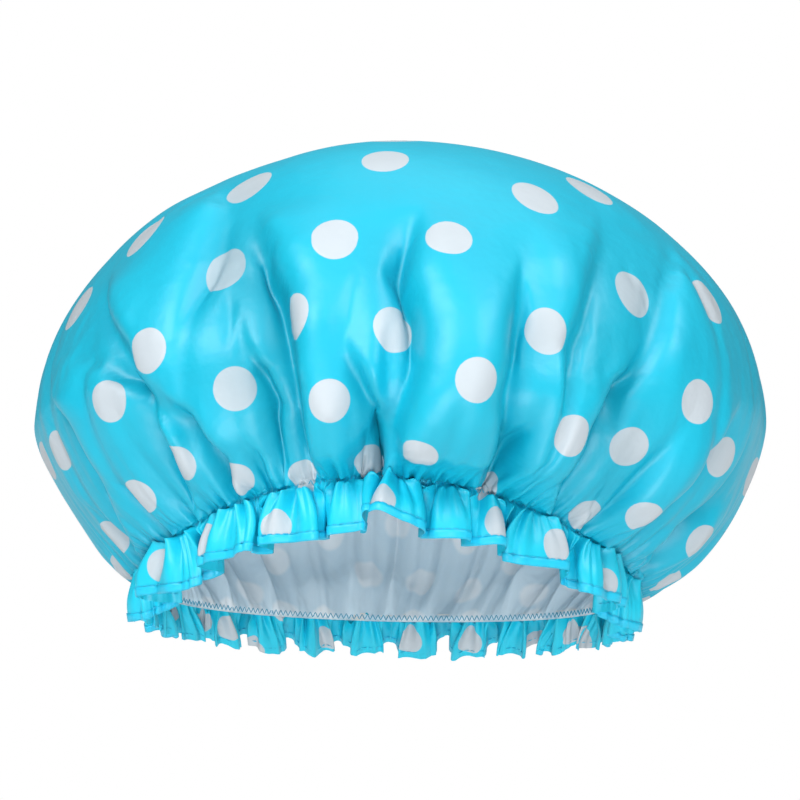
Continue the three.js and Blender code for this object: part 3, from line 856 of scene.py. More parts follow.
def without_drift(start: Array, settled: Array, cut: Array, gore: float) -> Array:
    """Take the whole form's sagging and swelling out of the settled cloth, and keep its folds.

    Args:
        start: Where the points started.
        settled: Where the cloth took them.
        cut: Their cut coordinates.
        gore: The cut radius of the gathering line.

    Returns:
        The corrected places.
    """
    angles, radii = polar(cut)
    rings = np.unique(np.round(radii[radii < gore - 1], 1))
    waves = [np.ones_like(angles)]
    for order in (1, 2, 3):
        waves += [np.cos(order * angles), np.sin(order * angles)]
    everywhere = np.stack(waves, axis=1)
    moved = settled - start
    drift = np.zeros((len(rings), len(waves), 3))
    for row, radius in enumerate(rings):
        chosen = np.abs(radii - radius) < 0.2
        if chosen.sum() > 2 * len(waves):
            drift[row] = np.linalg.lstsq(everywhere[chosen], moved[chosen], rcond=None)[0]
        else:
            drift[row, 0] = moved[chosen].mean(axis=0)
    kernel = np.array([1, 2, 3, 2, 1]) / 9
    padded = np.concatenate([drift[:1], drift[:1], drift, drift[-1:], drift[-1:]])
    drift = sum(weight * padded[i : i + len(rings)] for i, weight in enumerate(kernel))
    undo = np.zeros_like(settled)
    for axis in range(3):
        by_wave = [np.interp(radii, rings, drift[:, k, axis]) for k in range(len(waves))]
        undo[:, axis] = (np.stack(by_wave, axis=1) * everywhere).sum(axis=1)
    fade = 1 - smoothstep(0.9, 1.0, radii / gore)
    return settled - undo * fade[:, None]


def math_method(operation: str, reflected: bool = False) -> Callable[["Socket", Any], "Socket"]:
    """A method that joins a socket and another value by a Math node, the other one first if reflected."""

    def method(self: "Socket", other: "Socket | float") -> "Socket":
        """Join the two."""
        return self.shader.math(operation, *((other, self) if reflected else (self, other)))

    return method


class Socket:
    """A shader output that Python's operators work on."""

    __add__, __radd__ = math_method("ADD"), math_method("ADD", reflected=True)
    __sub__, __rsub__ = math_method("SUBTRACT"), math_method("SUBTRACT", reflected=True)
    __mul__, __rmul__ = math_method("MULTIPLY"), math_method("MULTIPLY", reflected=True)
    __truediv__, __rtruediv__ = math_method("DIVIDE"), math_method("DIVIDE", reflected=True)

    def __init__(self, shader: "Shader", output: bpy.types.NodeSocket) -> None:
        """Wrap an output of one of a shader's nodes."""
        self.shader = shader
        self.output = output

    def clamped(self) -> "Socket":
        """Kept between 0 and 1."""
        return self.shader.node("ShaderNodeClamp", {}, {"Value": self})


class Shader:
    """A material's or the world's node tree under construction."""

    def __init__(self, owner: bpy.types.Material | bpy.types.World) -> None:
        """Start an empty node tree."""
        self.owner = owner
        owner.use_nodes = True
        self.tree = owner.node_tree
        self.tree.nodes.clear()

    @classmethod
    def of_material(cls, name: str) -> "Shader":
        """Start a new material."""
        return cls(bpy.data.materials.new(name))

    def node(
        self, kind: str, settings: Mapping[str, Any], inputs: Mapping[str | int, Any], output: str | int = 0
    ) -> Socket:
        """Add a node.

        Args:
            kind: The node's type.
            settings: Its properties, set first.
            inputs: Its sockets' values or links.
            output: The output that is wanted.

        Returns:
            That output.
        """
        made = self.tree.nodes.new(kind)
        for key, value in settings.items():
            setattr(made, key, value)
        for key, value in inputs.items():
            if isinstance(value, Socket):
                self.tree.links.new(value.output, made.inputs[key])
            else:
                made.inputs[key].default_value = value
        return Socket(self, made.outputs[output])

    def math(self, operation: str, *values: Socket | float) -> Socket:
        """Add a Math node."""
        return self.node("ShaderNodeMath", {"operation": operation}, dict(enumerate(values)))

    def attribute(self, name: str, output: str) -> Socket:
        """Read an attribute of the mesh."""
        settings = {"attribute_type": "GEOMETRY", "attribute_name": name}
        return self.node("ShaderNodeAttribute", settings, {}, output)

    def place(self) -> Socket:
        """Places in the piece's own coordinates."""
        return self.node("ShaderNodeTexCoord", {}, {}, "Object")

    def noise(self, place: Socket, scale: float, detail: float = 1.0) -> Socket:
        """Cloudy variation from 0 to 1."""
        inputs = {"Vector": place, "Scale": scale, "Detail": detail}
        return self.node("ShaderNodeTexNoise", {"noise_dimensions": "3D"}, inputs, "Fac")

    def scaled(self, place: Socket, factors: Colour) -> Socket:
        """A place stretched along its axes."""
        return self.node("ShaderNodeMapping", {}, {"Vector": place, "Scale": factors})

    def in_dot(self, soft_edge: float) -> Socket:
        """A share that is 1 inside the printed dots, with an edge as soft as given."""
        return (0.5 - self.attribute("print", "Fac") / soft_edge).clamped()

    def mixed(self, share: Socket | float, first: Any, second: Any) -> Socket:
        """Mix two colours."""
        settings = {"data_type": "RGBA", "blend_type": "MIX"}
        return self.node("ShaderNodeMix", settings, {0: share, 6: first, 7: second}, 2)

    def bumped(self, height: Socket, distance: float, strength: float) -> Socket:
        """Normals of a height in units of a distance."""
        inputs = {"Height": height, "Distance": distance * MM, "Strength": strength}
        return self.node("ShaderNodeBump", {}, inputs)

    def principled(self, **inputs: Any) -> Socket:
        """Add the surface node, whose inputs are named with lines for spaces."""
        named = {name.replace("_", " "): value for name, value in inputs.items()}
        return self.node("ShaderNodeBsdfPrincipled", {}, named)

    def finished(self, surface: Socket, kind: str = "ShaderNodeOutputMaterial") -> Any:
        """Close the tree on a surface, and give its material or world."""
        self.tree.links.new(surface.output, self.tree.nodes.new(kind).inputs["Surface"])
        return self.owner


def rgba(colour: Colour) -> tuple[float, float, float, float]:
    """An opaque colour."""
    return (*colour, 1.0)


@dataclass(frozen=True)
class PrintedSatin:
    """Glossy polyester satin printed with dots, with fine gathers beside the elastic."""

    ground: Colour = (0.001, 0.455, 0.625)
    ground_deep: Colour = (0.001, 0.41, 0.585)
    dot: Colour = (0.48, 0.54, 0.585)
    dot_edge: float = 0.3
    # Painted shade in the creases' valleys and the pleats' hollows: how much of it, and how dark, as a share
    # of the deep ground.
    valley_shade_share: float = 0.45
    shade: float = 0.45
    roughness: float = 0.45
    specular: float = 0.5
    gathering_radius: float = CapForm.gore
    cloud_scale: float = 0.035
    weave: Colour = (9.0, 0.6, 1.0)
    weave_height: float = 0.012
    crumple_scale: float = 0.11
    crumple_height: float = 0.5
    pleats_round: float = 151.0
    pleat_height: float = 0.3
    pleat_decay: float = 0.16

    def pleats(self, shader: Shader, cut: Socket) -> Socket:
        """Fine pleats that fade away from the gathering line."""
        across, down = (shader.node("ShaderNodeSeparateXYZ", {}, {0: cut}, axis) for axis in (0, 1))
        angle = shader.math("ARCTAN2", across, 0.0 - down)
        radius = shader.math("SQRT", across * across + down * down)
        beside = shader.math("ABSOLUTE", radius - self.gathering_radius)
        wander = shader.noise(cut, 0.09) * 9.0
        waves = shader.math("SINE", angle * self.pleats_round + wander)
        return waves * shader.math("EXPONENT", beside * -self.pleat_decay)

    def material(self, name: str, printed: bool = True) -> bpy.types.Material:
        """Build the finish.

        Args:
            name: The material's name.
            printed: Whether the cloth has its dots.

        Returns:
            The material.
        """
        shader = Shader.of_material(name)
        cut = shader.attribute("cut", "Vector")
        clouds = shader.noise(cut, self.cloud_scale)
        threads = shader.noise(shader.scaled(cut, self.weave), 1.0)
        crumple = shader.noise(cut, self.crumple_scale, 2.0)
        height = self.pleats(shader, cut) * self.pleat_height + crumple * self.crumple_height
        height = height + threads * self.weave_height
        colour = shader.mixed(clouds, rgba(self.ground), rgba(self.ground_deep))
        rough = self.roughness + (threads - 0.5) * 0.05
        if printed:
            inside_dot = shader.in_dot(self.dot_edge)
            colour = shader.mixed(inside_dot, colour, rgba(self.dot))
            rough = rough + inside_dot * 0.06
        # Painted shade: the colour darkens towards a dim copy of the deep ground where the cloth lies deep in
        # a valley or pleat.
        valley_shade = shader.attribute("valley_shade", "Fac") * self.valley_shade_share
        valley_shade_colour = tuple(self.shade * channel for channel in self.ground_deep)
        surface = shader.principled(
            Base_Color=shader.mixed(valley_shade, colour, rgba(valley_shade_colour)),
            Roughness=rough,
            Normal=shader.bumped(height, 1.0, 0.8),
            Specular_IOR_Level=self.specular,
        )
        return shader.finished(surface)


@dataclass(frozen=True)
class ClearFilm:
    """Grey-white translucent film, through which the cover's dots show faintly."""

    ground: Colour = (0.60, 0.76, 0.86)
    dot: Colour = (0.88, 0.92, 0.95)
    dot_edge: float = 1.6
    dot_strength: float = 0.8
    clouded: float = 0.3
    roughness: float = 0.32

    def material(self, name: str) -> bpy.types.Material:
        """Build the finish."""
        shader = Shader.of_material(name)
        cut = shader.attribute("cut", "Vector")
        clouds = shader.noise(cut, 0.05, 2.0)
        crinkle = shader.noise(cut, 0.12)
        ground = shader.mixed(clouds * self.clouded, rgba(self.ground), rgba(self.dot))
        surface = shader.principled(
            Base_Color=shader.mixed(shader.in_dot(self.dot_edge) * self.dot_strength, ground, rgba(self.dot)),
            Roughness=self.roughness + crinkle * 0.12,
            Normal=shader.bumped(crinkle, 1.5, 0.5),
        )
        return shader.finished(surface)


@dataclass(frozen=True)
class TwistedThread:
    """Polyester sewing thread."""

    colour: Colour
    roughness: float = 0.55
    fibre_scale: float = 5200.0

    def material(self, name: str) -> bpy.types.Material:
        """Build the finish."""
        shader = Shader.of_material(name)
        fibres = shader.noise(shader.place(), self.fibre_scale)
        pale = tuple(min(1.0, channel * 1.25 + 0.02) for channel in self.colour)
        surface = shader.principled(
            Base_Color=shader.mixed(fibres, rgba(self.colour), rgba(pale)),
            Roughness=self.roughness + fibres * 0.2,
            Normal=shader.bumped(fibres, 0.08, 0.5),
        )
        return shader.finished(surface)


@dataclass(frozen=True)
class BraidedElastic:
    """White flat elastic with ribs along its length."""

    colour: Colour = (0.80, 0.80, 0.78)
    between_ribs: Colour = (0.66, 0.66, 0.64)
    roughness: float = 0.8
    ribs: Colour = (900.0, 900.0, 4200.0)

    def material(self, name: str) -> bpy.types.Material:
        """Build the finish."""
        shader = Shader.of_material(name)
        ribs = shader.noise(shader.scaled(shader.place(), self.ribs), 1.0)
        surface = shader.principled(
            Base_Color=shader.mixed(ribs, rgba(self.colour), rgba(self.between_ribs)),
            Roughness=self.roughness + ribs * 0.1,
            Normal=shader.bumped(ribs, 0.25, 0.6),
        )
        return shader.finished(surface)


class WornCloth:
    """Places of worn cloth over its cut disc, to take lengths along it across its folds."""

    columns: int = 1536
    path_steps: int = 20

    def __init__(self, meshes: Sequence[bpy.types.Mesh], row: float) -> None:
        """Read the places off meshes that are made in rings.

        Args:
            meshes: Meshes with cut coordinates.
            row: The closest step between their rings.
        """
        points = np.concatenate([positions(mesh) for mesh in meshes])
        angles, radii = polar(np.concatenate([cut_of(mesh) for mesh in meshes]))
        rows = np.round(radii / row).astype(int)
        wanted = -math.pi + TURN * np.arange(self.columns) / self.columns
        ring_radii, rings = [], []
        for number in np.unique(rows):
            chosen = np.flatnonzero(rows == number)
            chosen = chosen[np.argsort(angles[chosen])]
            by_axis = [np.interp(wanted, angles[chosen], along, period=TURN) for along in points[chosen].T]
            ring_radii.append(radii[chosen].mean())
            rings.append(np.stack(by_axis, axis=-1))
        self.ring_radii, self.rings = np.array(ring_radii), np.array(rings)

    def places(self, cut: Array) -> Array:
        """Where cut coordinates lie on the worn cloth.

        Args:
            cut: Cut coordinates, two in each row.

        Returns:
            Rows of x, y, z.
        """
        angles, radii = polar(cut)
        row = np.interp(radii, self.ring_radii, np.arange(len(self.ring_radii)))
        return looked_up(self.rings, row, (angles + math.pi) / TURN * self.columns)

    def lengths(self, centre: Array, cut: Array) -> Array:
        """Lengths along the cloth from one place to others.

        Args:
            centre: The first place's cut coordinates.
            cut: The others', two in each row.

        Returns:
            One length for each.
        """
        last, total = self.places(np.tile(centre, (len(cut), 1))), np.zeros(len(cut))
        for share in np.linspace(0, 1, self.path_steps + 1)[1:]:
            place = self.places(centre + share * (cut - centre))
            total += np.linalg.norm(place - last, axis=1)
            last = place
        return total


@dataclass(frozen=True)
class DotPrint:
    """The staggered dots, placed where the photograph shows them and in rows elsewhere."""

    radius: float = 8.2
    radii_by_share: tuple[tuple[float, float], ...] = ((0.4, 8.2), (0.7, 7.6), (0.9, 6.7), (1.0, 5.8))
    measured_to: float = 3.4
    upper_stretch: float = 0.25
    stretched_at: float = 0.36
    stretched_over: float = 0.2
    pitch: float = 46.0
    row: float = 31.0
    clear_of_seen: float = 33.0
    unseen_from: float = math.radians(86.0)
    top_radius: float = 60.0

    def seen_centres(self, mesh: bpy.types.Mesh, view: PhotoView, pixels: Sequence[Pixel]) -> Array:
        """Cut coordinates of the places under pixels of the photograph.

        Args:
            mesh: The finished cover.
            view: The photograph's view.
            pixels: Where the dots' middles are seen.

        Returns:
            Rows of two cut coordinates.
        """
        points, cut = positions(mesh), cut_of(mesh)
        faces = [tuple(face.vertices) for face in mesh.polygons]
        tree = BVHTree.FromPolygons([Vector(p) for p in points], faces)
        found = []
        for pixel in pixels:
            ray = view.ray(pixel)
            hit, _, index, _ = tree.ray_cast(Vector(view.eye()), Vector(ray))
            if hit is None:
                towards = points - view.eye()
                aside = towards - (towards @ ray)[:, None] * ray
                found.append(cut[int(np.argmin(np.linalg.norm(aside, axis=1))), :2])
                continue
            corners = list(faces[index])
            nearness = 1 / (np.linalg.norm(points[corners] - np.array(hit), axis=1) + 1e-3)
            found.append((cut[corners, :2] * nearness[:, None]).sum(axis=0) / nearness.sum())
        return np.array(found)

    def rows(self, seen: Array, rim: float) -> Array:
        """Dots in staggered rows where the photograph shows none of the cloth, the disc's middle left bare.

        Args:
            seen: The seen dots' cut coordinates.
            rim: The radius of the cut disc.

        Returns:
            Rows of two cut coordinates.
        """
        steps = range(-math.ceil(rim / self.row), math.ceil(rim / self.row) + 1)
        kept = []
        for line in steps:
            for column in steps:
                place = ((column + 0.5 * (line % 2)) * self.pitch, line * self.row)
                radius, angle = math.hypot(*place), abs(math.atan2(place[0], -place[1]))
                hidden = angle > self.unseen_from or radius < self.top_radius
                apart = np.hypot(*(seen - np.array(place)).T).min()
                if 0 < radius < rim + self.radius and hidden and apart > self.clear_of_seen:
                    kept.append(place)
        return np.array(kept)

    def mark(self, mesh: bpy.types.Mesh, worn: WornCloth, centres: Array, gore: float) -> None:
        """Keep each point's distance from the nearest dot's edge as the attribute "print".

        Args:
            mesh: The cover, or a layer with the same cut coordinates.
            worn: The worn cloth that lengths are taken along.
            centres: The dots' cut coordinates.
            gore: The cut radius of the gathering line.
        """
        cut = cut_of(mesh)[:, :2]
        nearest = np.full(len(cut), 1e3)
        for centre in centres:
            offset = cut - centre
            apart = np.hypot(*offset.T)
            close = np.flatnonzero(apart < self.measured_to * self.radius)
            share = math.hypot(*centre) / gore
            radius = float(np.interp(share, *np.array(self.radii_by_share).T))
            along = np.abs(offset[close] @ (centre / np.linalg.norm(centre))) / (apart[close] + 1e-6)
            from_middle = (share - self.stretched_at) / self.stretched_over
            longer = 1 + self.upper_stretch * math.exp(-(from_middle**2))
            lengths = worn.lengths(centre, cut[close]) * np.hypot(along / longer, np.sqrt(1 - along**2))
            nearest[close] = np.minimum(nearest[close], lengths - radius)
        keep_values(mesh, "print", nearest)


@dataclass
class SatinCover:
    """The cover: one disc of satin, gathered, with its crown above the elastic and its ruffle below."""

    form: CapForm
    view: PhotoView
    finish: PrintedSatin = PrintedSatin()
    # Painted light: the ruffle's satin is a lighter copy of the crown's, standing in for light shining
    # through the thin cloth.
    backlight_painted_satin: PrintedSatin = PrintedSatin((0.006, 0.58, 0.77), (0.004, 0.54, 0.73))
    dots: DotPrint = DotPrint()
    rings_in_crown: int = 64
    ruffle_rings: tuple[float, ...] = (3.9, 7.8, 11.7, 15.6, 19.5)
    pleated_strip: float = 20.0
    crown: bpy.types.Mesh | None = None
    ruffle: bpy.types.Mesh | None = None
    centres: Array = field(default_factory=lambda: np.zeros((0, 2)))

    def cloth(self, folds: FoldField) -> bpy.types.Mesh:
        """Cut the disc, fold it and let it settle."""
        gore = self.form.gore
        radii = [gore * (i + 1) / self.rings_in_crown for i in range(self.rings_in_crown)]
        radii += [gore + fall for fall in self.ruffle_rings]
        disc = CutDisc("satin_cover", tuple(radii)).mesh()
        cut = cut_of(disc)
        places = folds.points(cut)
        settled = ClothRun().settle(disc, places, cut, gore)
        places = without_drift(places, settled, cut, gore)
        move_points(disc, places)
        return disc

    def refined(self, cloth: bpy.types.Mesh, folds: FoldField, of_crown: bool) -> bpy.types.Mesh:
        """One side of the gathering line, with enough points for its fine pleats.

        Args:
            cloth: The settled cloth.
            folds: Its folds.
            of_crown: Whether the crown is wanted, or the ruffle.

        Returns:
            The finer mesh.
        """
        gore = self.form.gore
        _, radii = polar(cut_of(cloth))
        mesh = without_points(cloth, radii > gore + ON_LINE if of_crown else radii < gore - ON_LINE)
        levels = 1 if of_crown else 2
        mesh = with_modifier(mesh, "SUBSURF", levels=levels, render_levels=levels)
        if of_crown:
            near = polar(cut_of(mesh))[1] > gore - self.pleated_strip
            bm = bmesh.new()
            bm.from_mesh(mesh)
            edges = [edge for edge in bm.edges if all(near[vert.index] for vert in edge.verts)]
            bmesh.ops.subdivide_edges(bm, edges=edges, cuts=1, use_grid_fill=True)
            bm.to_mesh(mesh)
            bm.free()
        cut = cut_of(mesh)
        move_points(mesh, folds.crisped(positions(mesh), normals_of(mesh), cut))
        # Painted shade: keep how deep each point lies in a valley, which darkens the satin's colour there.
        keep_values(mesh, "valley_shade", folds.painted_valley_shade(cut))
        return mesh

    def shape(self) -> None:
        """Shape both sides of the gathering line, and print their dots."""
        folds = FoldField(self.form, self.view)
        cloth = self.cloth(folds)
        self.crown = self.refined(cloth, folds, of_crown=True)
        self.ruffle = self.refined(cloth, folds, of_crown=False)
        shown = (
            (self.crown, DOTS_ON_CROWN),
            (self.ruffle, DOTS_ON_FRONT_RUFFLE),
            (self.ruffle, DOTS_INSIDE_BACK_RUFFLE),
        )
        seen = np.concatenate([self.dots.seen_centres(mesh, self.view, pixels) for mesh, pixels in shown])
        self.centres = np.concatenate([seen, self.dots.rows(seen, self.form.rim)])
        worn = WornCloth((self.crown, self.ruffle), self.form.gore / self.rings_in_crown / 4)
        for mesh in (self.crown, self.ruffle):
            self.dots.mark(mesh, worn, self.centres, self.form.gore)

    def build(self) -> list[bpy.types.Object]:
        """Make the crown and the ruffle."""
        self.shape()
        satin = self.finish.material("printed_satin")
        # The ruffle gets the lighter copy of the satin, with light through the cloth painted into its colour.
        pale = self.backlight_painted_satin.material("ruffle_satin_painted_backlight")
        crown = piece_of(self.crown, "puffed_crown", satin, "satin_crown")
        ruffle = piece_of(self.ruffle, "gathered_ruffle", pale, "satin_ruffle")
        return [crown, ruffle]


@dataclass(frozen=True)
class Course:
    """A closed line round the cap, with the cloth's normals."""

    points: Array
    normals: Array

    def spaced(self, pitch: float) -> tuple[Array, Array]:
        """Even steps along the line.

        Args:
            pitch: The wished step.

        Returns:
            Points and unit normals, an even number of them round.
        """
        closed = np.concatenate([self.points, self.points[:1]])
        turned = np.concatenate([self.normals, self.normals[:1]])
        along = np.concatenate([[0], np.cumsum(np.linalg.norm(np.diff(closed, axis=0), axis=1))])
        count = 2 * round(along[-1] / pitch / 2)
        wanted = np.arange(count) * along[-1] / count
        points, normals = (
            np.stack([np.interp(wanted, along, values) for values in rows.T], axis=1)
            for rows in (closed, turned)
        )
        return points, unit(normals)


def course_on(mesh: bpy.types.Mesh, radius: float) -> Course:
    """The line round a cover mesh at a cut radius, between its two neighbouring rings.

    Args:
        mesh: A mesh with cut coordinates.
        radius: The cut radius.

    Returns:
        The line.
    """
    points, normals, (angles, radii) = positions(mesh), normals_of(mesh), polar(cut_of(mesh))
    rings = np.unique(np.round(radii, 1))
    below = rings[rings <= radius + 0.05].max()
    above = rings[rings >= radius - 0.05].min()
    ends = []
    for ring in (below, above):
        chosen = np.flatnonzero(np.abs(radii - ring) < 0.25)
        chosen = chosen[np.argsort(angles[chosen])]
        ends.append((points[chosen], normals[chosen]))
    share = 0.0 if above == below else (radius - below) / (above - below)
    if len(ends[0][0]) != len(ends[1][0]):
        share, ends = 0.0, [ends[0], ends[0]]
    middle = [low * (1 - share) + high * share for low, high in zip(*ends)]
    return Course(middle[0], unit(middle[1]))


@dataclass(frozen=True)
class Stitching:
    """A row of stitches, each a small bowed length of thread."""

    thickness: float
    sides: int = 6
    rings: int = 5

    def mesh(self, name: str, stitches: Sequence[tuple[Array, Array, Array]]) -> bpy.types.Mesh:
        """Make the stitches.

        Args:
            name: The mesh's name.
            stitches: Start, end and surface normal of each.

        Returns:
            One mesh of all the stitches, in metres.
        """
        one = self.one_stitch()
        bm = bmesh.new()
        for start, end, normal in stitches:
            forward = Vector(end - start).normalized()
            up = (Vector(normal) - forward * forward.dot(Vector(normal))).normalized()
            turned = Matrix((forward, up.cross(forward), up)).transposed().to_4x4()
            long = float(np.linalg.norm(end - start))
            sized = Matrix.Diagonal((long, self.thickness, self.thickness, 1))
            middle = Matrix.Translation(Vector((start + end) / 2))
            placed = one.copy()
            placed.transform(Matrix.Scale(MM, 4) @ middle @ turned @ sized)
            bm.from_mesh(placed)
            bpy.data.meshes.remove(placed)
        return mesh_of(bm, name)

    def one_stitch(self) -> bpy.types.Mesh:
        """A stitch along X, one long and one thick."""
        bm = bmesh.new()
        turned = Matrix.Rotation(QUARTER, 4, "Y")
        bmesh.ops.create_uvsphere(
            bm, u_segments=self.sides, v_segments=self.rings, radius=0.5, matrix=turned
        )
        bmesh.ops.recalc_face_normals(bm, faces=bm.faces)
        return mesh_of(bm, "one_stitch")


@dataclass(frozen=True)
class HemSeam:
    """The plain strip on the ruffle's edge and the two threads that hold it."""

    cover: SatinCover
    satin: PrintedSatin = PrintedSatin((0.012, 0.55, 0.79), (0.008, 0.52, 0.76))
    thread_colour: Colour = (0.02, 0.42, 0.62)
    width: float = 3.6
    stand_off: float = 0.08
    thickness: float = 0.28
    thread: float = 0.32
    stitch: float = 2.6
    gap: float = 0.1
    below_edge: float = 0.55
    over_strip: float = 0.03
    inside_cloth: float = -0.05

    def band(self) -> bpy.types.Object:
        """Make the strip from the ruffle's own edge."""
        _, radii = polar(cut_of(self.cover.ruffle))
        mesh = without_points(self.cover.ruffle, radii < self.cover.form.rim - self.width - 0.2)
        move_points(mesh, positions(mesh) + self.stand_off * normals_of(mesh))
        mesh = with_modifier(mesh, "SOLIDIFY", thickness=self.thickness * MM, offset=1.0)
        satin = self.satin.material("plain_satin", printed=False)
        return piece_of(mesh, "hem_strip", satin, "hem_band")

    def row(self, name: str, node: str, offset: float, material: bpy.types.Material) -> bpy.types.Object:
        """Make one of the hem's two rows of stitches.

        Args:
            name: The piece's name.
            node: The CAD node that it stands for.
            offset: How far out from the cloth it lies.
            material: Its finish.

        Returns:
            The row of stitches.
        """
        course = course_on(self.cover.ruffle, self.cover.form.rim - self.width + self.below_edge)
        points, normals = course.spaced(self.stitch)
        stitches = [
            (a + shift + self.gap * (b - a), b + shift - self.gap * (b - a), normal)
            for a, b, normal, shift in zip(points, np.roll(points, -1, axis=0), normals, offset * normals)
        ]
        mesh = Stitching(self.thread).mesh(name, stitches)
        return piece_of(mesh, name, material, node)

    def build(self) -> list[bpy.types.Object]:
        """Make the strip and its threads."""
        blue = TwistedThread(self.thread_colour).material("hem_thread")
        outer = self.stand_off + self.thickness + self.over_strip
        return [
            self.band(),
            self.row("hem_needle_stitches", "hem_needle_thread", outer, blue),
            self.row("hem_bobbin_stitches", "hem_bobbin_thread", self.inside_cloth, blue),
        ]


def lap_step(angles: Array) -> Array:
    """How much further in the film lies where the elastic's ends are lapped, at the back."""
    depth, half_length, radius = 1.1, 9, 88
    return depth * np.exp(-(((np.abs(angles) - math.pi) * radius / half_length) ** 4))


@dataclass(frozen=True)
class WaterproofLining:
    """The loose film inside the crown, sewn in at the elastic."""

    cover: SatinCover
    film: ClearFilm = ClearFilm()
    gore: float = 226.0
    rings: int = 44
    first_columns: int = 32
    most_columns: int = 512
    clearance: float = 2.0
    fold_depth: float = 4.6
    folds_from: float = 0.4
    folds_to: float = 0.8
    drawn_in_from: float = 0.93
    drawn_in_to: float = 0.995
    pucker: float = 2.2
    puckers: int = 86
    pucker_fall: float = 9.0
    at_elastic: float = -1.75
    edge: float = 1.6
    grid_columns: int = 120
    grid_rows: int = 40

    def innermost(self) -> Array:
        """How far in the satin's folds come, in a grid of the crown with a row for each share."""
        form, columns, rows = self.cover.form, self.grid_columns, self.grid_rows
        angles, radii = polar(cut_of(self.cover.crown))
        shares = radii / form.gore
        chosen = shares < self.drawn_in_to
        angles, shares = angles[chosen], shares[chosen]
        normals, _ = form.slopes(angles, shares)
        points = positions(self.cover.crown)[chosen]
        depth = np.einsum("ij,ij->i", points - form.crown(angles, shares), normals)
        column = ((angles / TURN) % 1 * columns).astype(int) % columns
        row = np.clip((shares * rows).astype(int), 0, rows - 1)
        lowest = np.full((rows, columns), 1e3)
        np.minimum.at(lowest, (row, column), depth)
        by_row = np.where(lowest < 1e2, lowest, np.nan)
        filled = np.where(np.isnan(by_row), np.nanmin(by_row, axis=1, keepdims=True), by_row)
        spread = np.minimum.reduce([np.roll(filled, k, axis=1) for k in (-1, 0, 1)])
        spread[1:-1] = np.minimum.reduce([spread[:-2], spread[1:-1], spread[2:]])
        for _ in range(3):
            spread = (np.roll(spread, 1, axis=1) + 2 * spread + np.roll(spread, -1, axis=1)) / 4
        return spread

    def cover_inside(self, angles: Array, shares: Array) -> Array:
        """How far in from the smooth crown the film must lie to clear the satin's folds.

        Args:
            angles: Angles round the cap.
            shares: Shares of a gore.

        Returns:
            Distances along the smooth crown's normal, below zero inwards.
        """
        row = np.clip(shares * self.grid_rows - 0.5, 0, self.grid_rows - 1.001)
        column = (angles / TURN) % 1 * self.grid_columns - 0.5
        return looked_up(self.innermost(), row, column)

    def places(self, cut: Array) -> Array:
        """Where the film's cut coordinates lie."""
        form = self.cover.form
        angles, radii = polar(cut)
        shares = np.clip(radii / self.gore, 0, 1)
        normals, _ = form.slopes(angles, shares)
        broad = 1 - np.abs(np.sin(16 * angles + 0.9 * np.sin(4 * angles)))
        narrow = 1 - np.abs(np.sin(29 * angles + np.sin(6 * angles)))
        folded = smoothstep(self.folds_from, self.folds_to, shares)
        folds = -self.fold_depth * (broad**1.5 + 0.6 * narrow**1.5) * folded
        inside = self.cover_inside(angles, shares) - self.clearance + folds
        points = form.crown(angles, shares) + inside[:, None] * normals
        line = form.gathering_line(angles) + (self.at_elastic - lap_step(angles))[:, None] * outward(angles)
        line = line - np.clip(radii - self.gore, 0, None)[:, None] * form.opening_axis()
        away = np.abs(radii - self.gore - self.edge / 2)
        waves = np.abs(np.sin(self.puckers * angles + np.sin(7 * angles)))
        pleats = -self.pucker * waves * np.exp(-away / self.pucker_fall) * smoothstep(0.0, 2.5, away)
        blend = smoothstep(self.drawn_in_from, self.drawn_in_to, shares)[:, None]
        return points * (1 - blend) + line * blend + pleats[:, None] * outward(angles)

    def build(self) -> bpy.types.Object:
        """Make the lining."""
        radii = [self.gore * (i + 1) / self.rings for i in range(self.rings)]
        radii += [self.gore + self.edge / 2, self.gore + self.edge]
        disc = CutDisc("waterproof_film", tuple(radii), self.first_columns, self.most_columns).mesh()
        move_points(disc, self.places(cut_of(disc)))
        mesh = with_modifier(disc, "SUBSURF", levels=1, render_levels=1)
        centres = self.cover.centres * self.gore / self.cover.form.gore
        self.cover.dots.mark(mesh, WornCloth((mesh,), self.gore / self.rings / 2), centres, self.gore)
        material = self.film.material("waterproof_film")
        film = piece_of(mesh, "lining_film", material, "waterproof_lining")
        return film


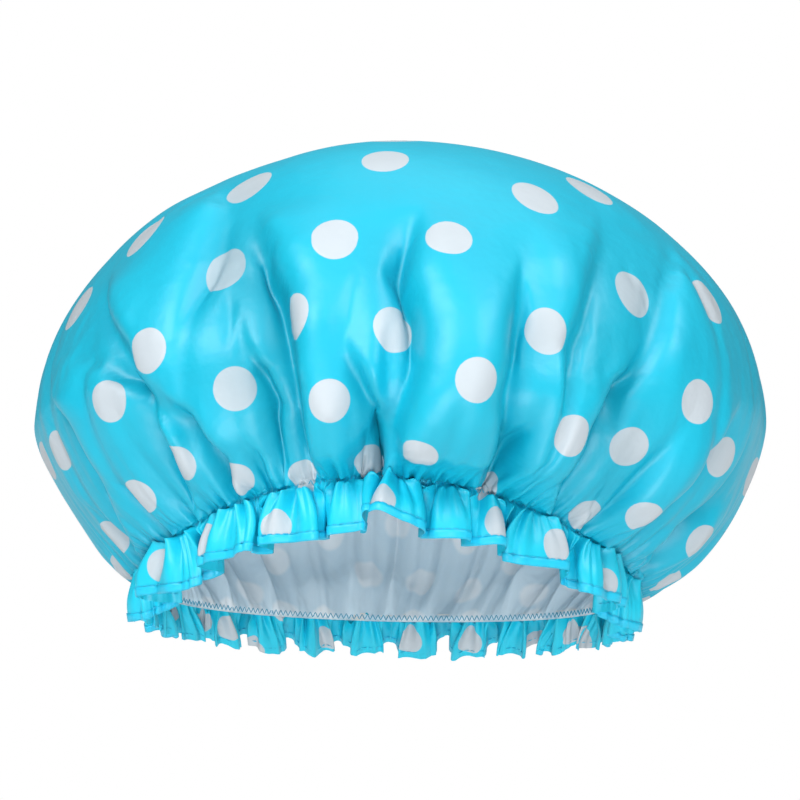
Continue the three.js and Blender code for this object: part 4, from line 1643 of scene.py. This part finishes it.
@dataclass(frozen=True)
class GatheringSeam:
    """The elastic, its tack and the zigzag of stitches that gathers the cloth."""

    cover: SatinCover
    zigzag: float = 1.05
    half_height: float = 1.1
    thread: float = 0.34
    thread_colour: Colour = (0.01, 0.30, 0.46)
    outside: float = 0.75
    inside: float = -2.15
    line_points: int = 2000

    def zigzag_row(
        self, name: str, node: str, offset: float, material: bpy.types.Material
    ) -> bpy.types.Object:
        """Make one of the two threads of the zigzag.

        Args:
            name: The piece's name.
            node: The CAD node that it stands for.
            offset: How far out from the gathering line it lies.
            material: Its finish.

        Returns:
            The row of stitches.
        """
        form = self.cover.form
        angles = np.linspace(-math.pi, math.pi, self.line_points, endpoint=False)
        points, normals = Course(form.gathering_line(angles), outward(angles)).spaced(self.zigzag)
        sign = np.where(np.arange(len(points)) % 2 == 0, 1.0, -1.0)
        place = np.full(len(points), offset)
        if offset < 0:
            place -= lap_step(np.arctan2(points[:, 0], -points[:, 1]))
        corners = points + place[:, None] * normals
        corners = corners + (sign * self.half_height)[:, None] * form.opening_axis()
        stitches = list(zip(corners, np.roll(corners, -1, axis=0), normals))
        mesh = Stitching(self.thread).mesh(name, stitches)
        return piece_of(mesh, name, material, node)

    def build(self) -> list[bpy.types.Object]:
        """Make the threads, and dress the elastic and its tack."""
        elastic = BraidedElastic().material("braided_elastic")
        for node in ("elastic_band", "elastic_tack"):
            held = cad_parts[node]
            held.data.materials.clear()
            held.data.materials.append(elastic)
        blue = TwistedThread(self.thread_colour).material("gathering_thread")
        return [
            self.zigzag_row("gathering_needle_stitches", "gather_needle_thread", self.outside, blue),
            self.zigzag_row("gathering_bobbin_stitches", "gather_bobbin_thread", self.inside, blue),
        ]


@dataclass(frozen=True)
class Lamp:
    """A square lamp that faces the cap, with its place and size in metres and its power in watts."""

    name: str
    place: Colour
    size: float
    power: float
    aimed_at: Colour = (0.0, 0.0, 0.05)

    def build(self) -> None:
        """Hang the lamp."""
        data = bpy.data.lights.new(self.name, "AREA")
        data.size, data.energy = self.size, self.power
        lamp = bpy.data.objects.new(self.name, data)
        lamp.location = self.place
        towards = Vector(self.aimed_at) - Vector(self.place)
        lamp.rotation_euler = towards.to_track_quat("-Z", "Y").to_euler()
        bpy.context.scene.collection.objects.link(lamp)


@dataclass(frozen=True)
class Studio:
    """The camera, the lamps, the white surroundings and the floor, whose sizes are in metres."""

    view: PhotoView
    surroundings: float = 0.22
    sensor_mm: float = 36.0
    floor_below: float = 0.32
    floor_half_width: float = 6.0
    floor_grey: Colour = (0.86, 0.86, 0.86)
    floor_roughness: float = 0.8
    white: Colour = (1.0, 1.0, 1.0)
    lamps: tuple[Lamp, ...] = (
        Lamp("key", (-0.65, -0.9, 1.1), 0.8, 18.0),
        Lamp("fill", (0.9, -0.7, 1.2), 0.8, 14.0),
        Lamp("top", (0.1, 0.35, 1.2), 0.8, 2.0),
        Lamp("low", (0.0, -1.1, -0.32), 0.5, 11.5),
    )

    def camera(self) -> None:
        """Set the camera at the photograph's angle."""
        data = bpy.data.cameras.new("camera")
        data.sensor_width = self.sensor_mm
        data.lens = self.sensor_mm * self.view.distance / (self.view.frame_px * self.view.mm_per_px)
        camera = bpy.data.objects.new("camera", data)
        camera.location = Vector(self.view.eye() * MM)
        camera.rotation_euler = (QUARTER, 0.0, 0.0)
        bpy.context.scene.collection.objects.link(camera)
        bpy.context.scene.camera = camera

    def seen_by(self, shader: Shader, *rays: str) -> Socket:
        """A share that is 1 for rays of the named kinds."""
        kinds = [shader.node("ShaderNodeLightPath", {}, {}, f"Is {ray} Ray") for ray in rays]
        return sum(kinds[1:], kinds[0]).clamped()

    def world(self) -> None:
        """Light the cap evenly, and show white behind it."""
        shader = Shader(bpy.data.worlds.new("surroundings"))
        bpy.context.scene.world = shader.owner
        shown = self.seen_by(shader, "Camera", "Transmission")
        strength = self.surroundings + shown * (1.0 - self.surroundings)
        inputs = {"Color": rgba(self.white), "Strength": strength}
        shader.finished(shader.node("ShaderNodeBackground", {}, inputs), "ShaderNodeOutputWorld")

    def floor(self) -> None:
        """Lay a pale floor well below the cap."""
        shader = Shader.of_material("white_floor")
        lit = shader.principled(Base_Color=rgba(self.floor_grey), Roughness=self.floor_roughness)
        shown = shader.node("ShaderNodeEmission", {}, {"Color": rgba(self.white), "Strength": 1.0})
        share = self.seen_by(shader, "Camera", "Glossy", "Transmission")
        material = shader.finished(shader.node("ShaderNodeMixShader", {}, {0: share, 1: lit, 2: shown}))
        bm = bmesh.new()
        place = Matrix.Translation((0, 0, -self.floor_below))
        bmesh.ops.create_grid(bm, x_segments=1, y_segments=1, size=self.floor_half_width, matrix=place)
        shown_object(mesh_of(bm, "floor"), "floor", material)

    def build(self) -> None:
        """Set up the studio."""
        bpy.context.scene.view_settings.view_transform = "Standard"
        self.camera()
        self.world()
        self.floor()
        for lamp in self.lamps:
            lamp.build()


def main() -> None:
    """Build the cap from its cover to its seams, then the studio."""
    logging.basicConfig(level=logging.INFO, format="%(message)s")
    view, form = PhotoView(), CapForm()
    cover = SatinCover(form, view)
    made = cover.build()
    made.append(WaterproofLining(cover).build())
    made += HemSeam(cover).build()
    made += GatheringSeam(cover).build()
    Studio(view).build()
    for piece in made:
        log.info("%s: %d faces", piece.name, len(piece.data.polygons))


if __name__ == "__main__":
    main()
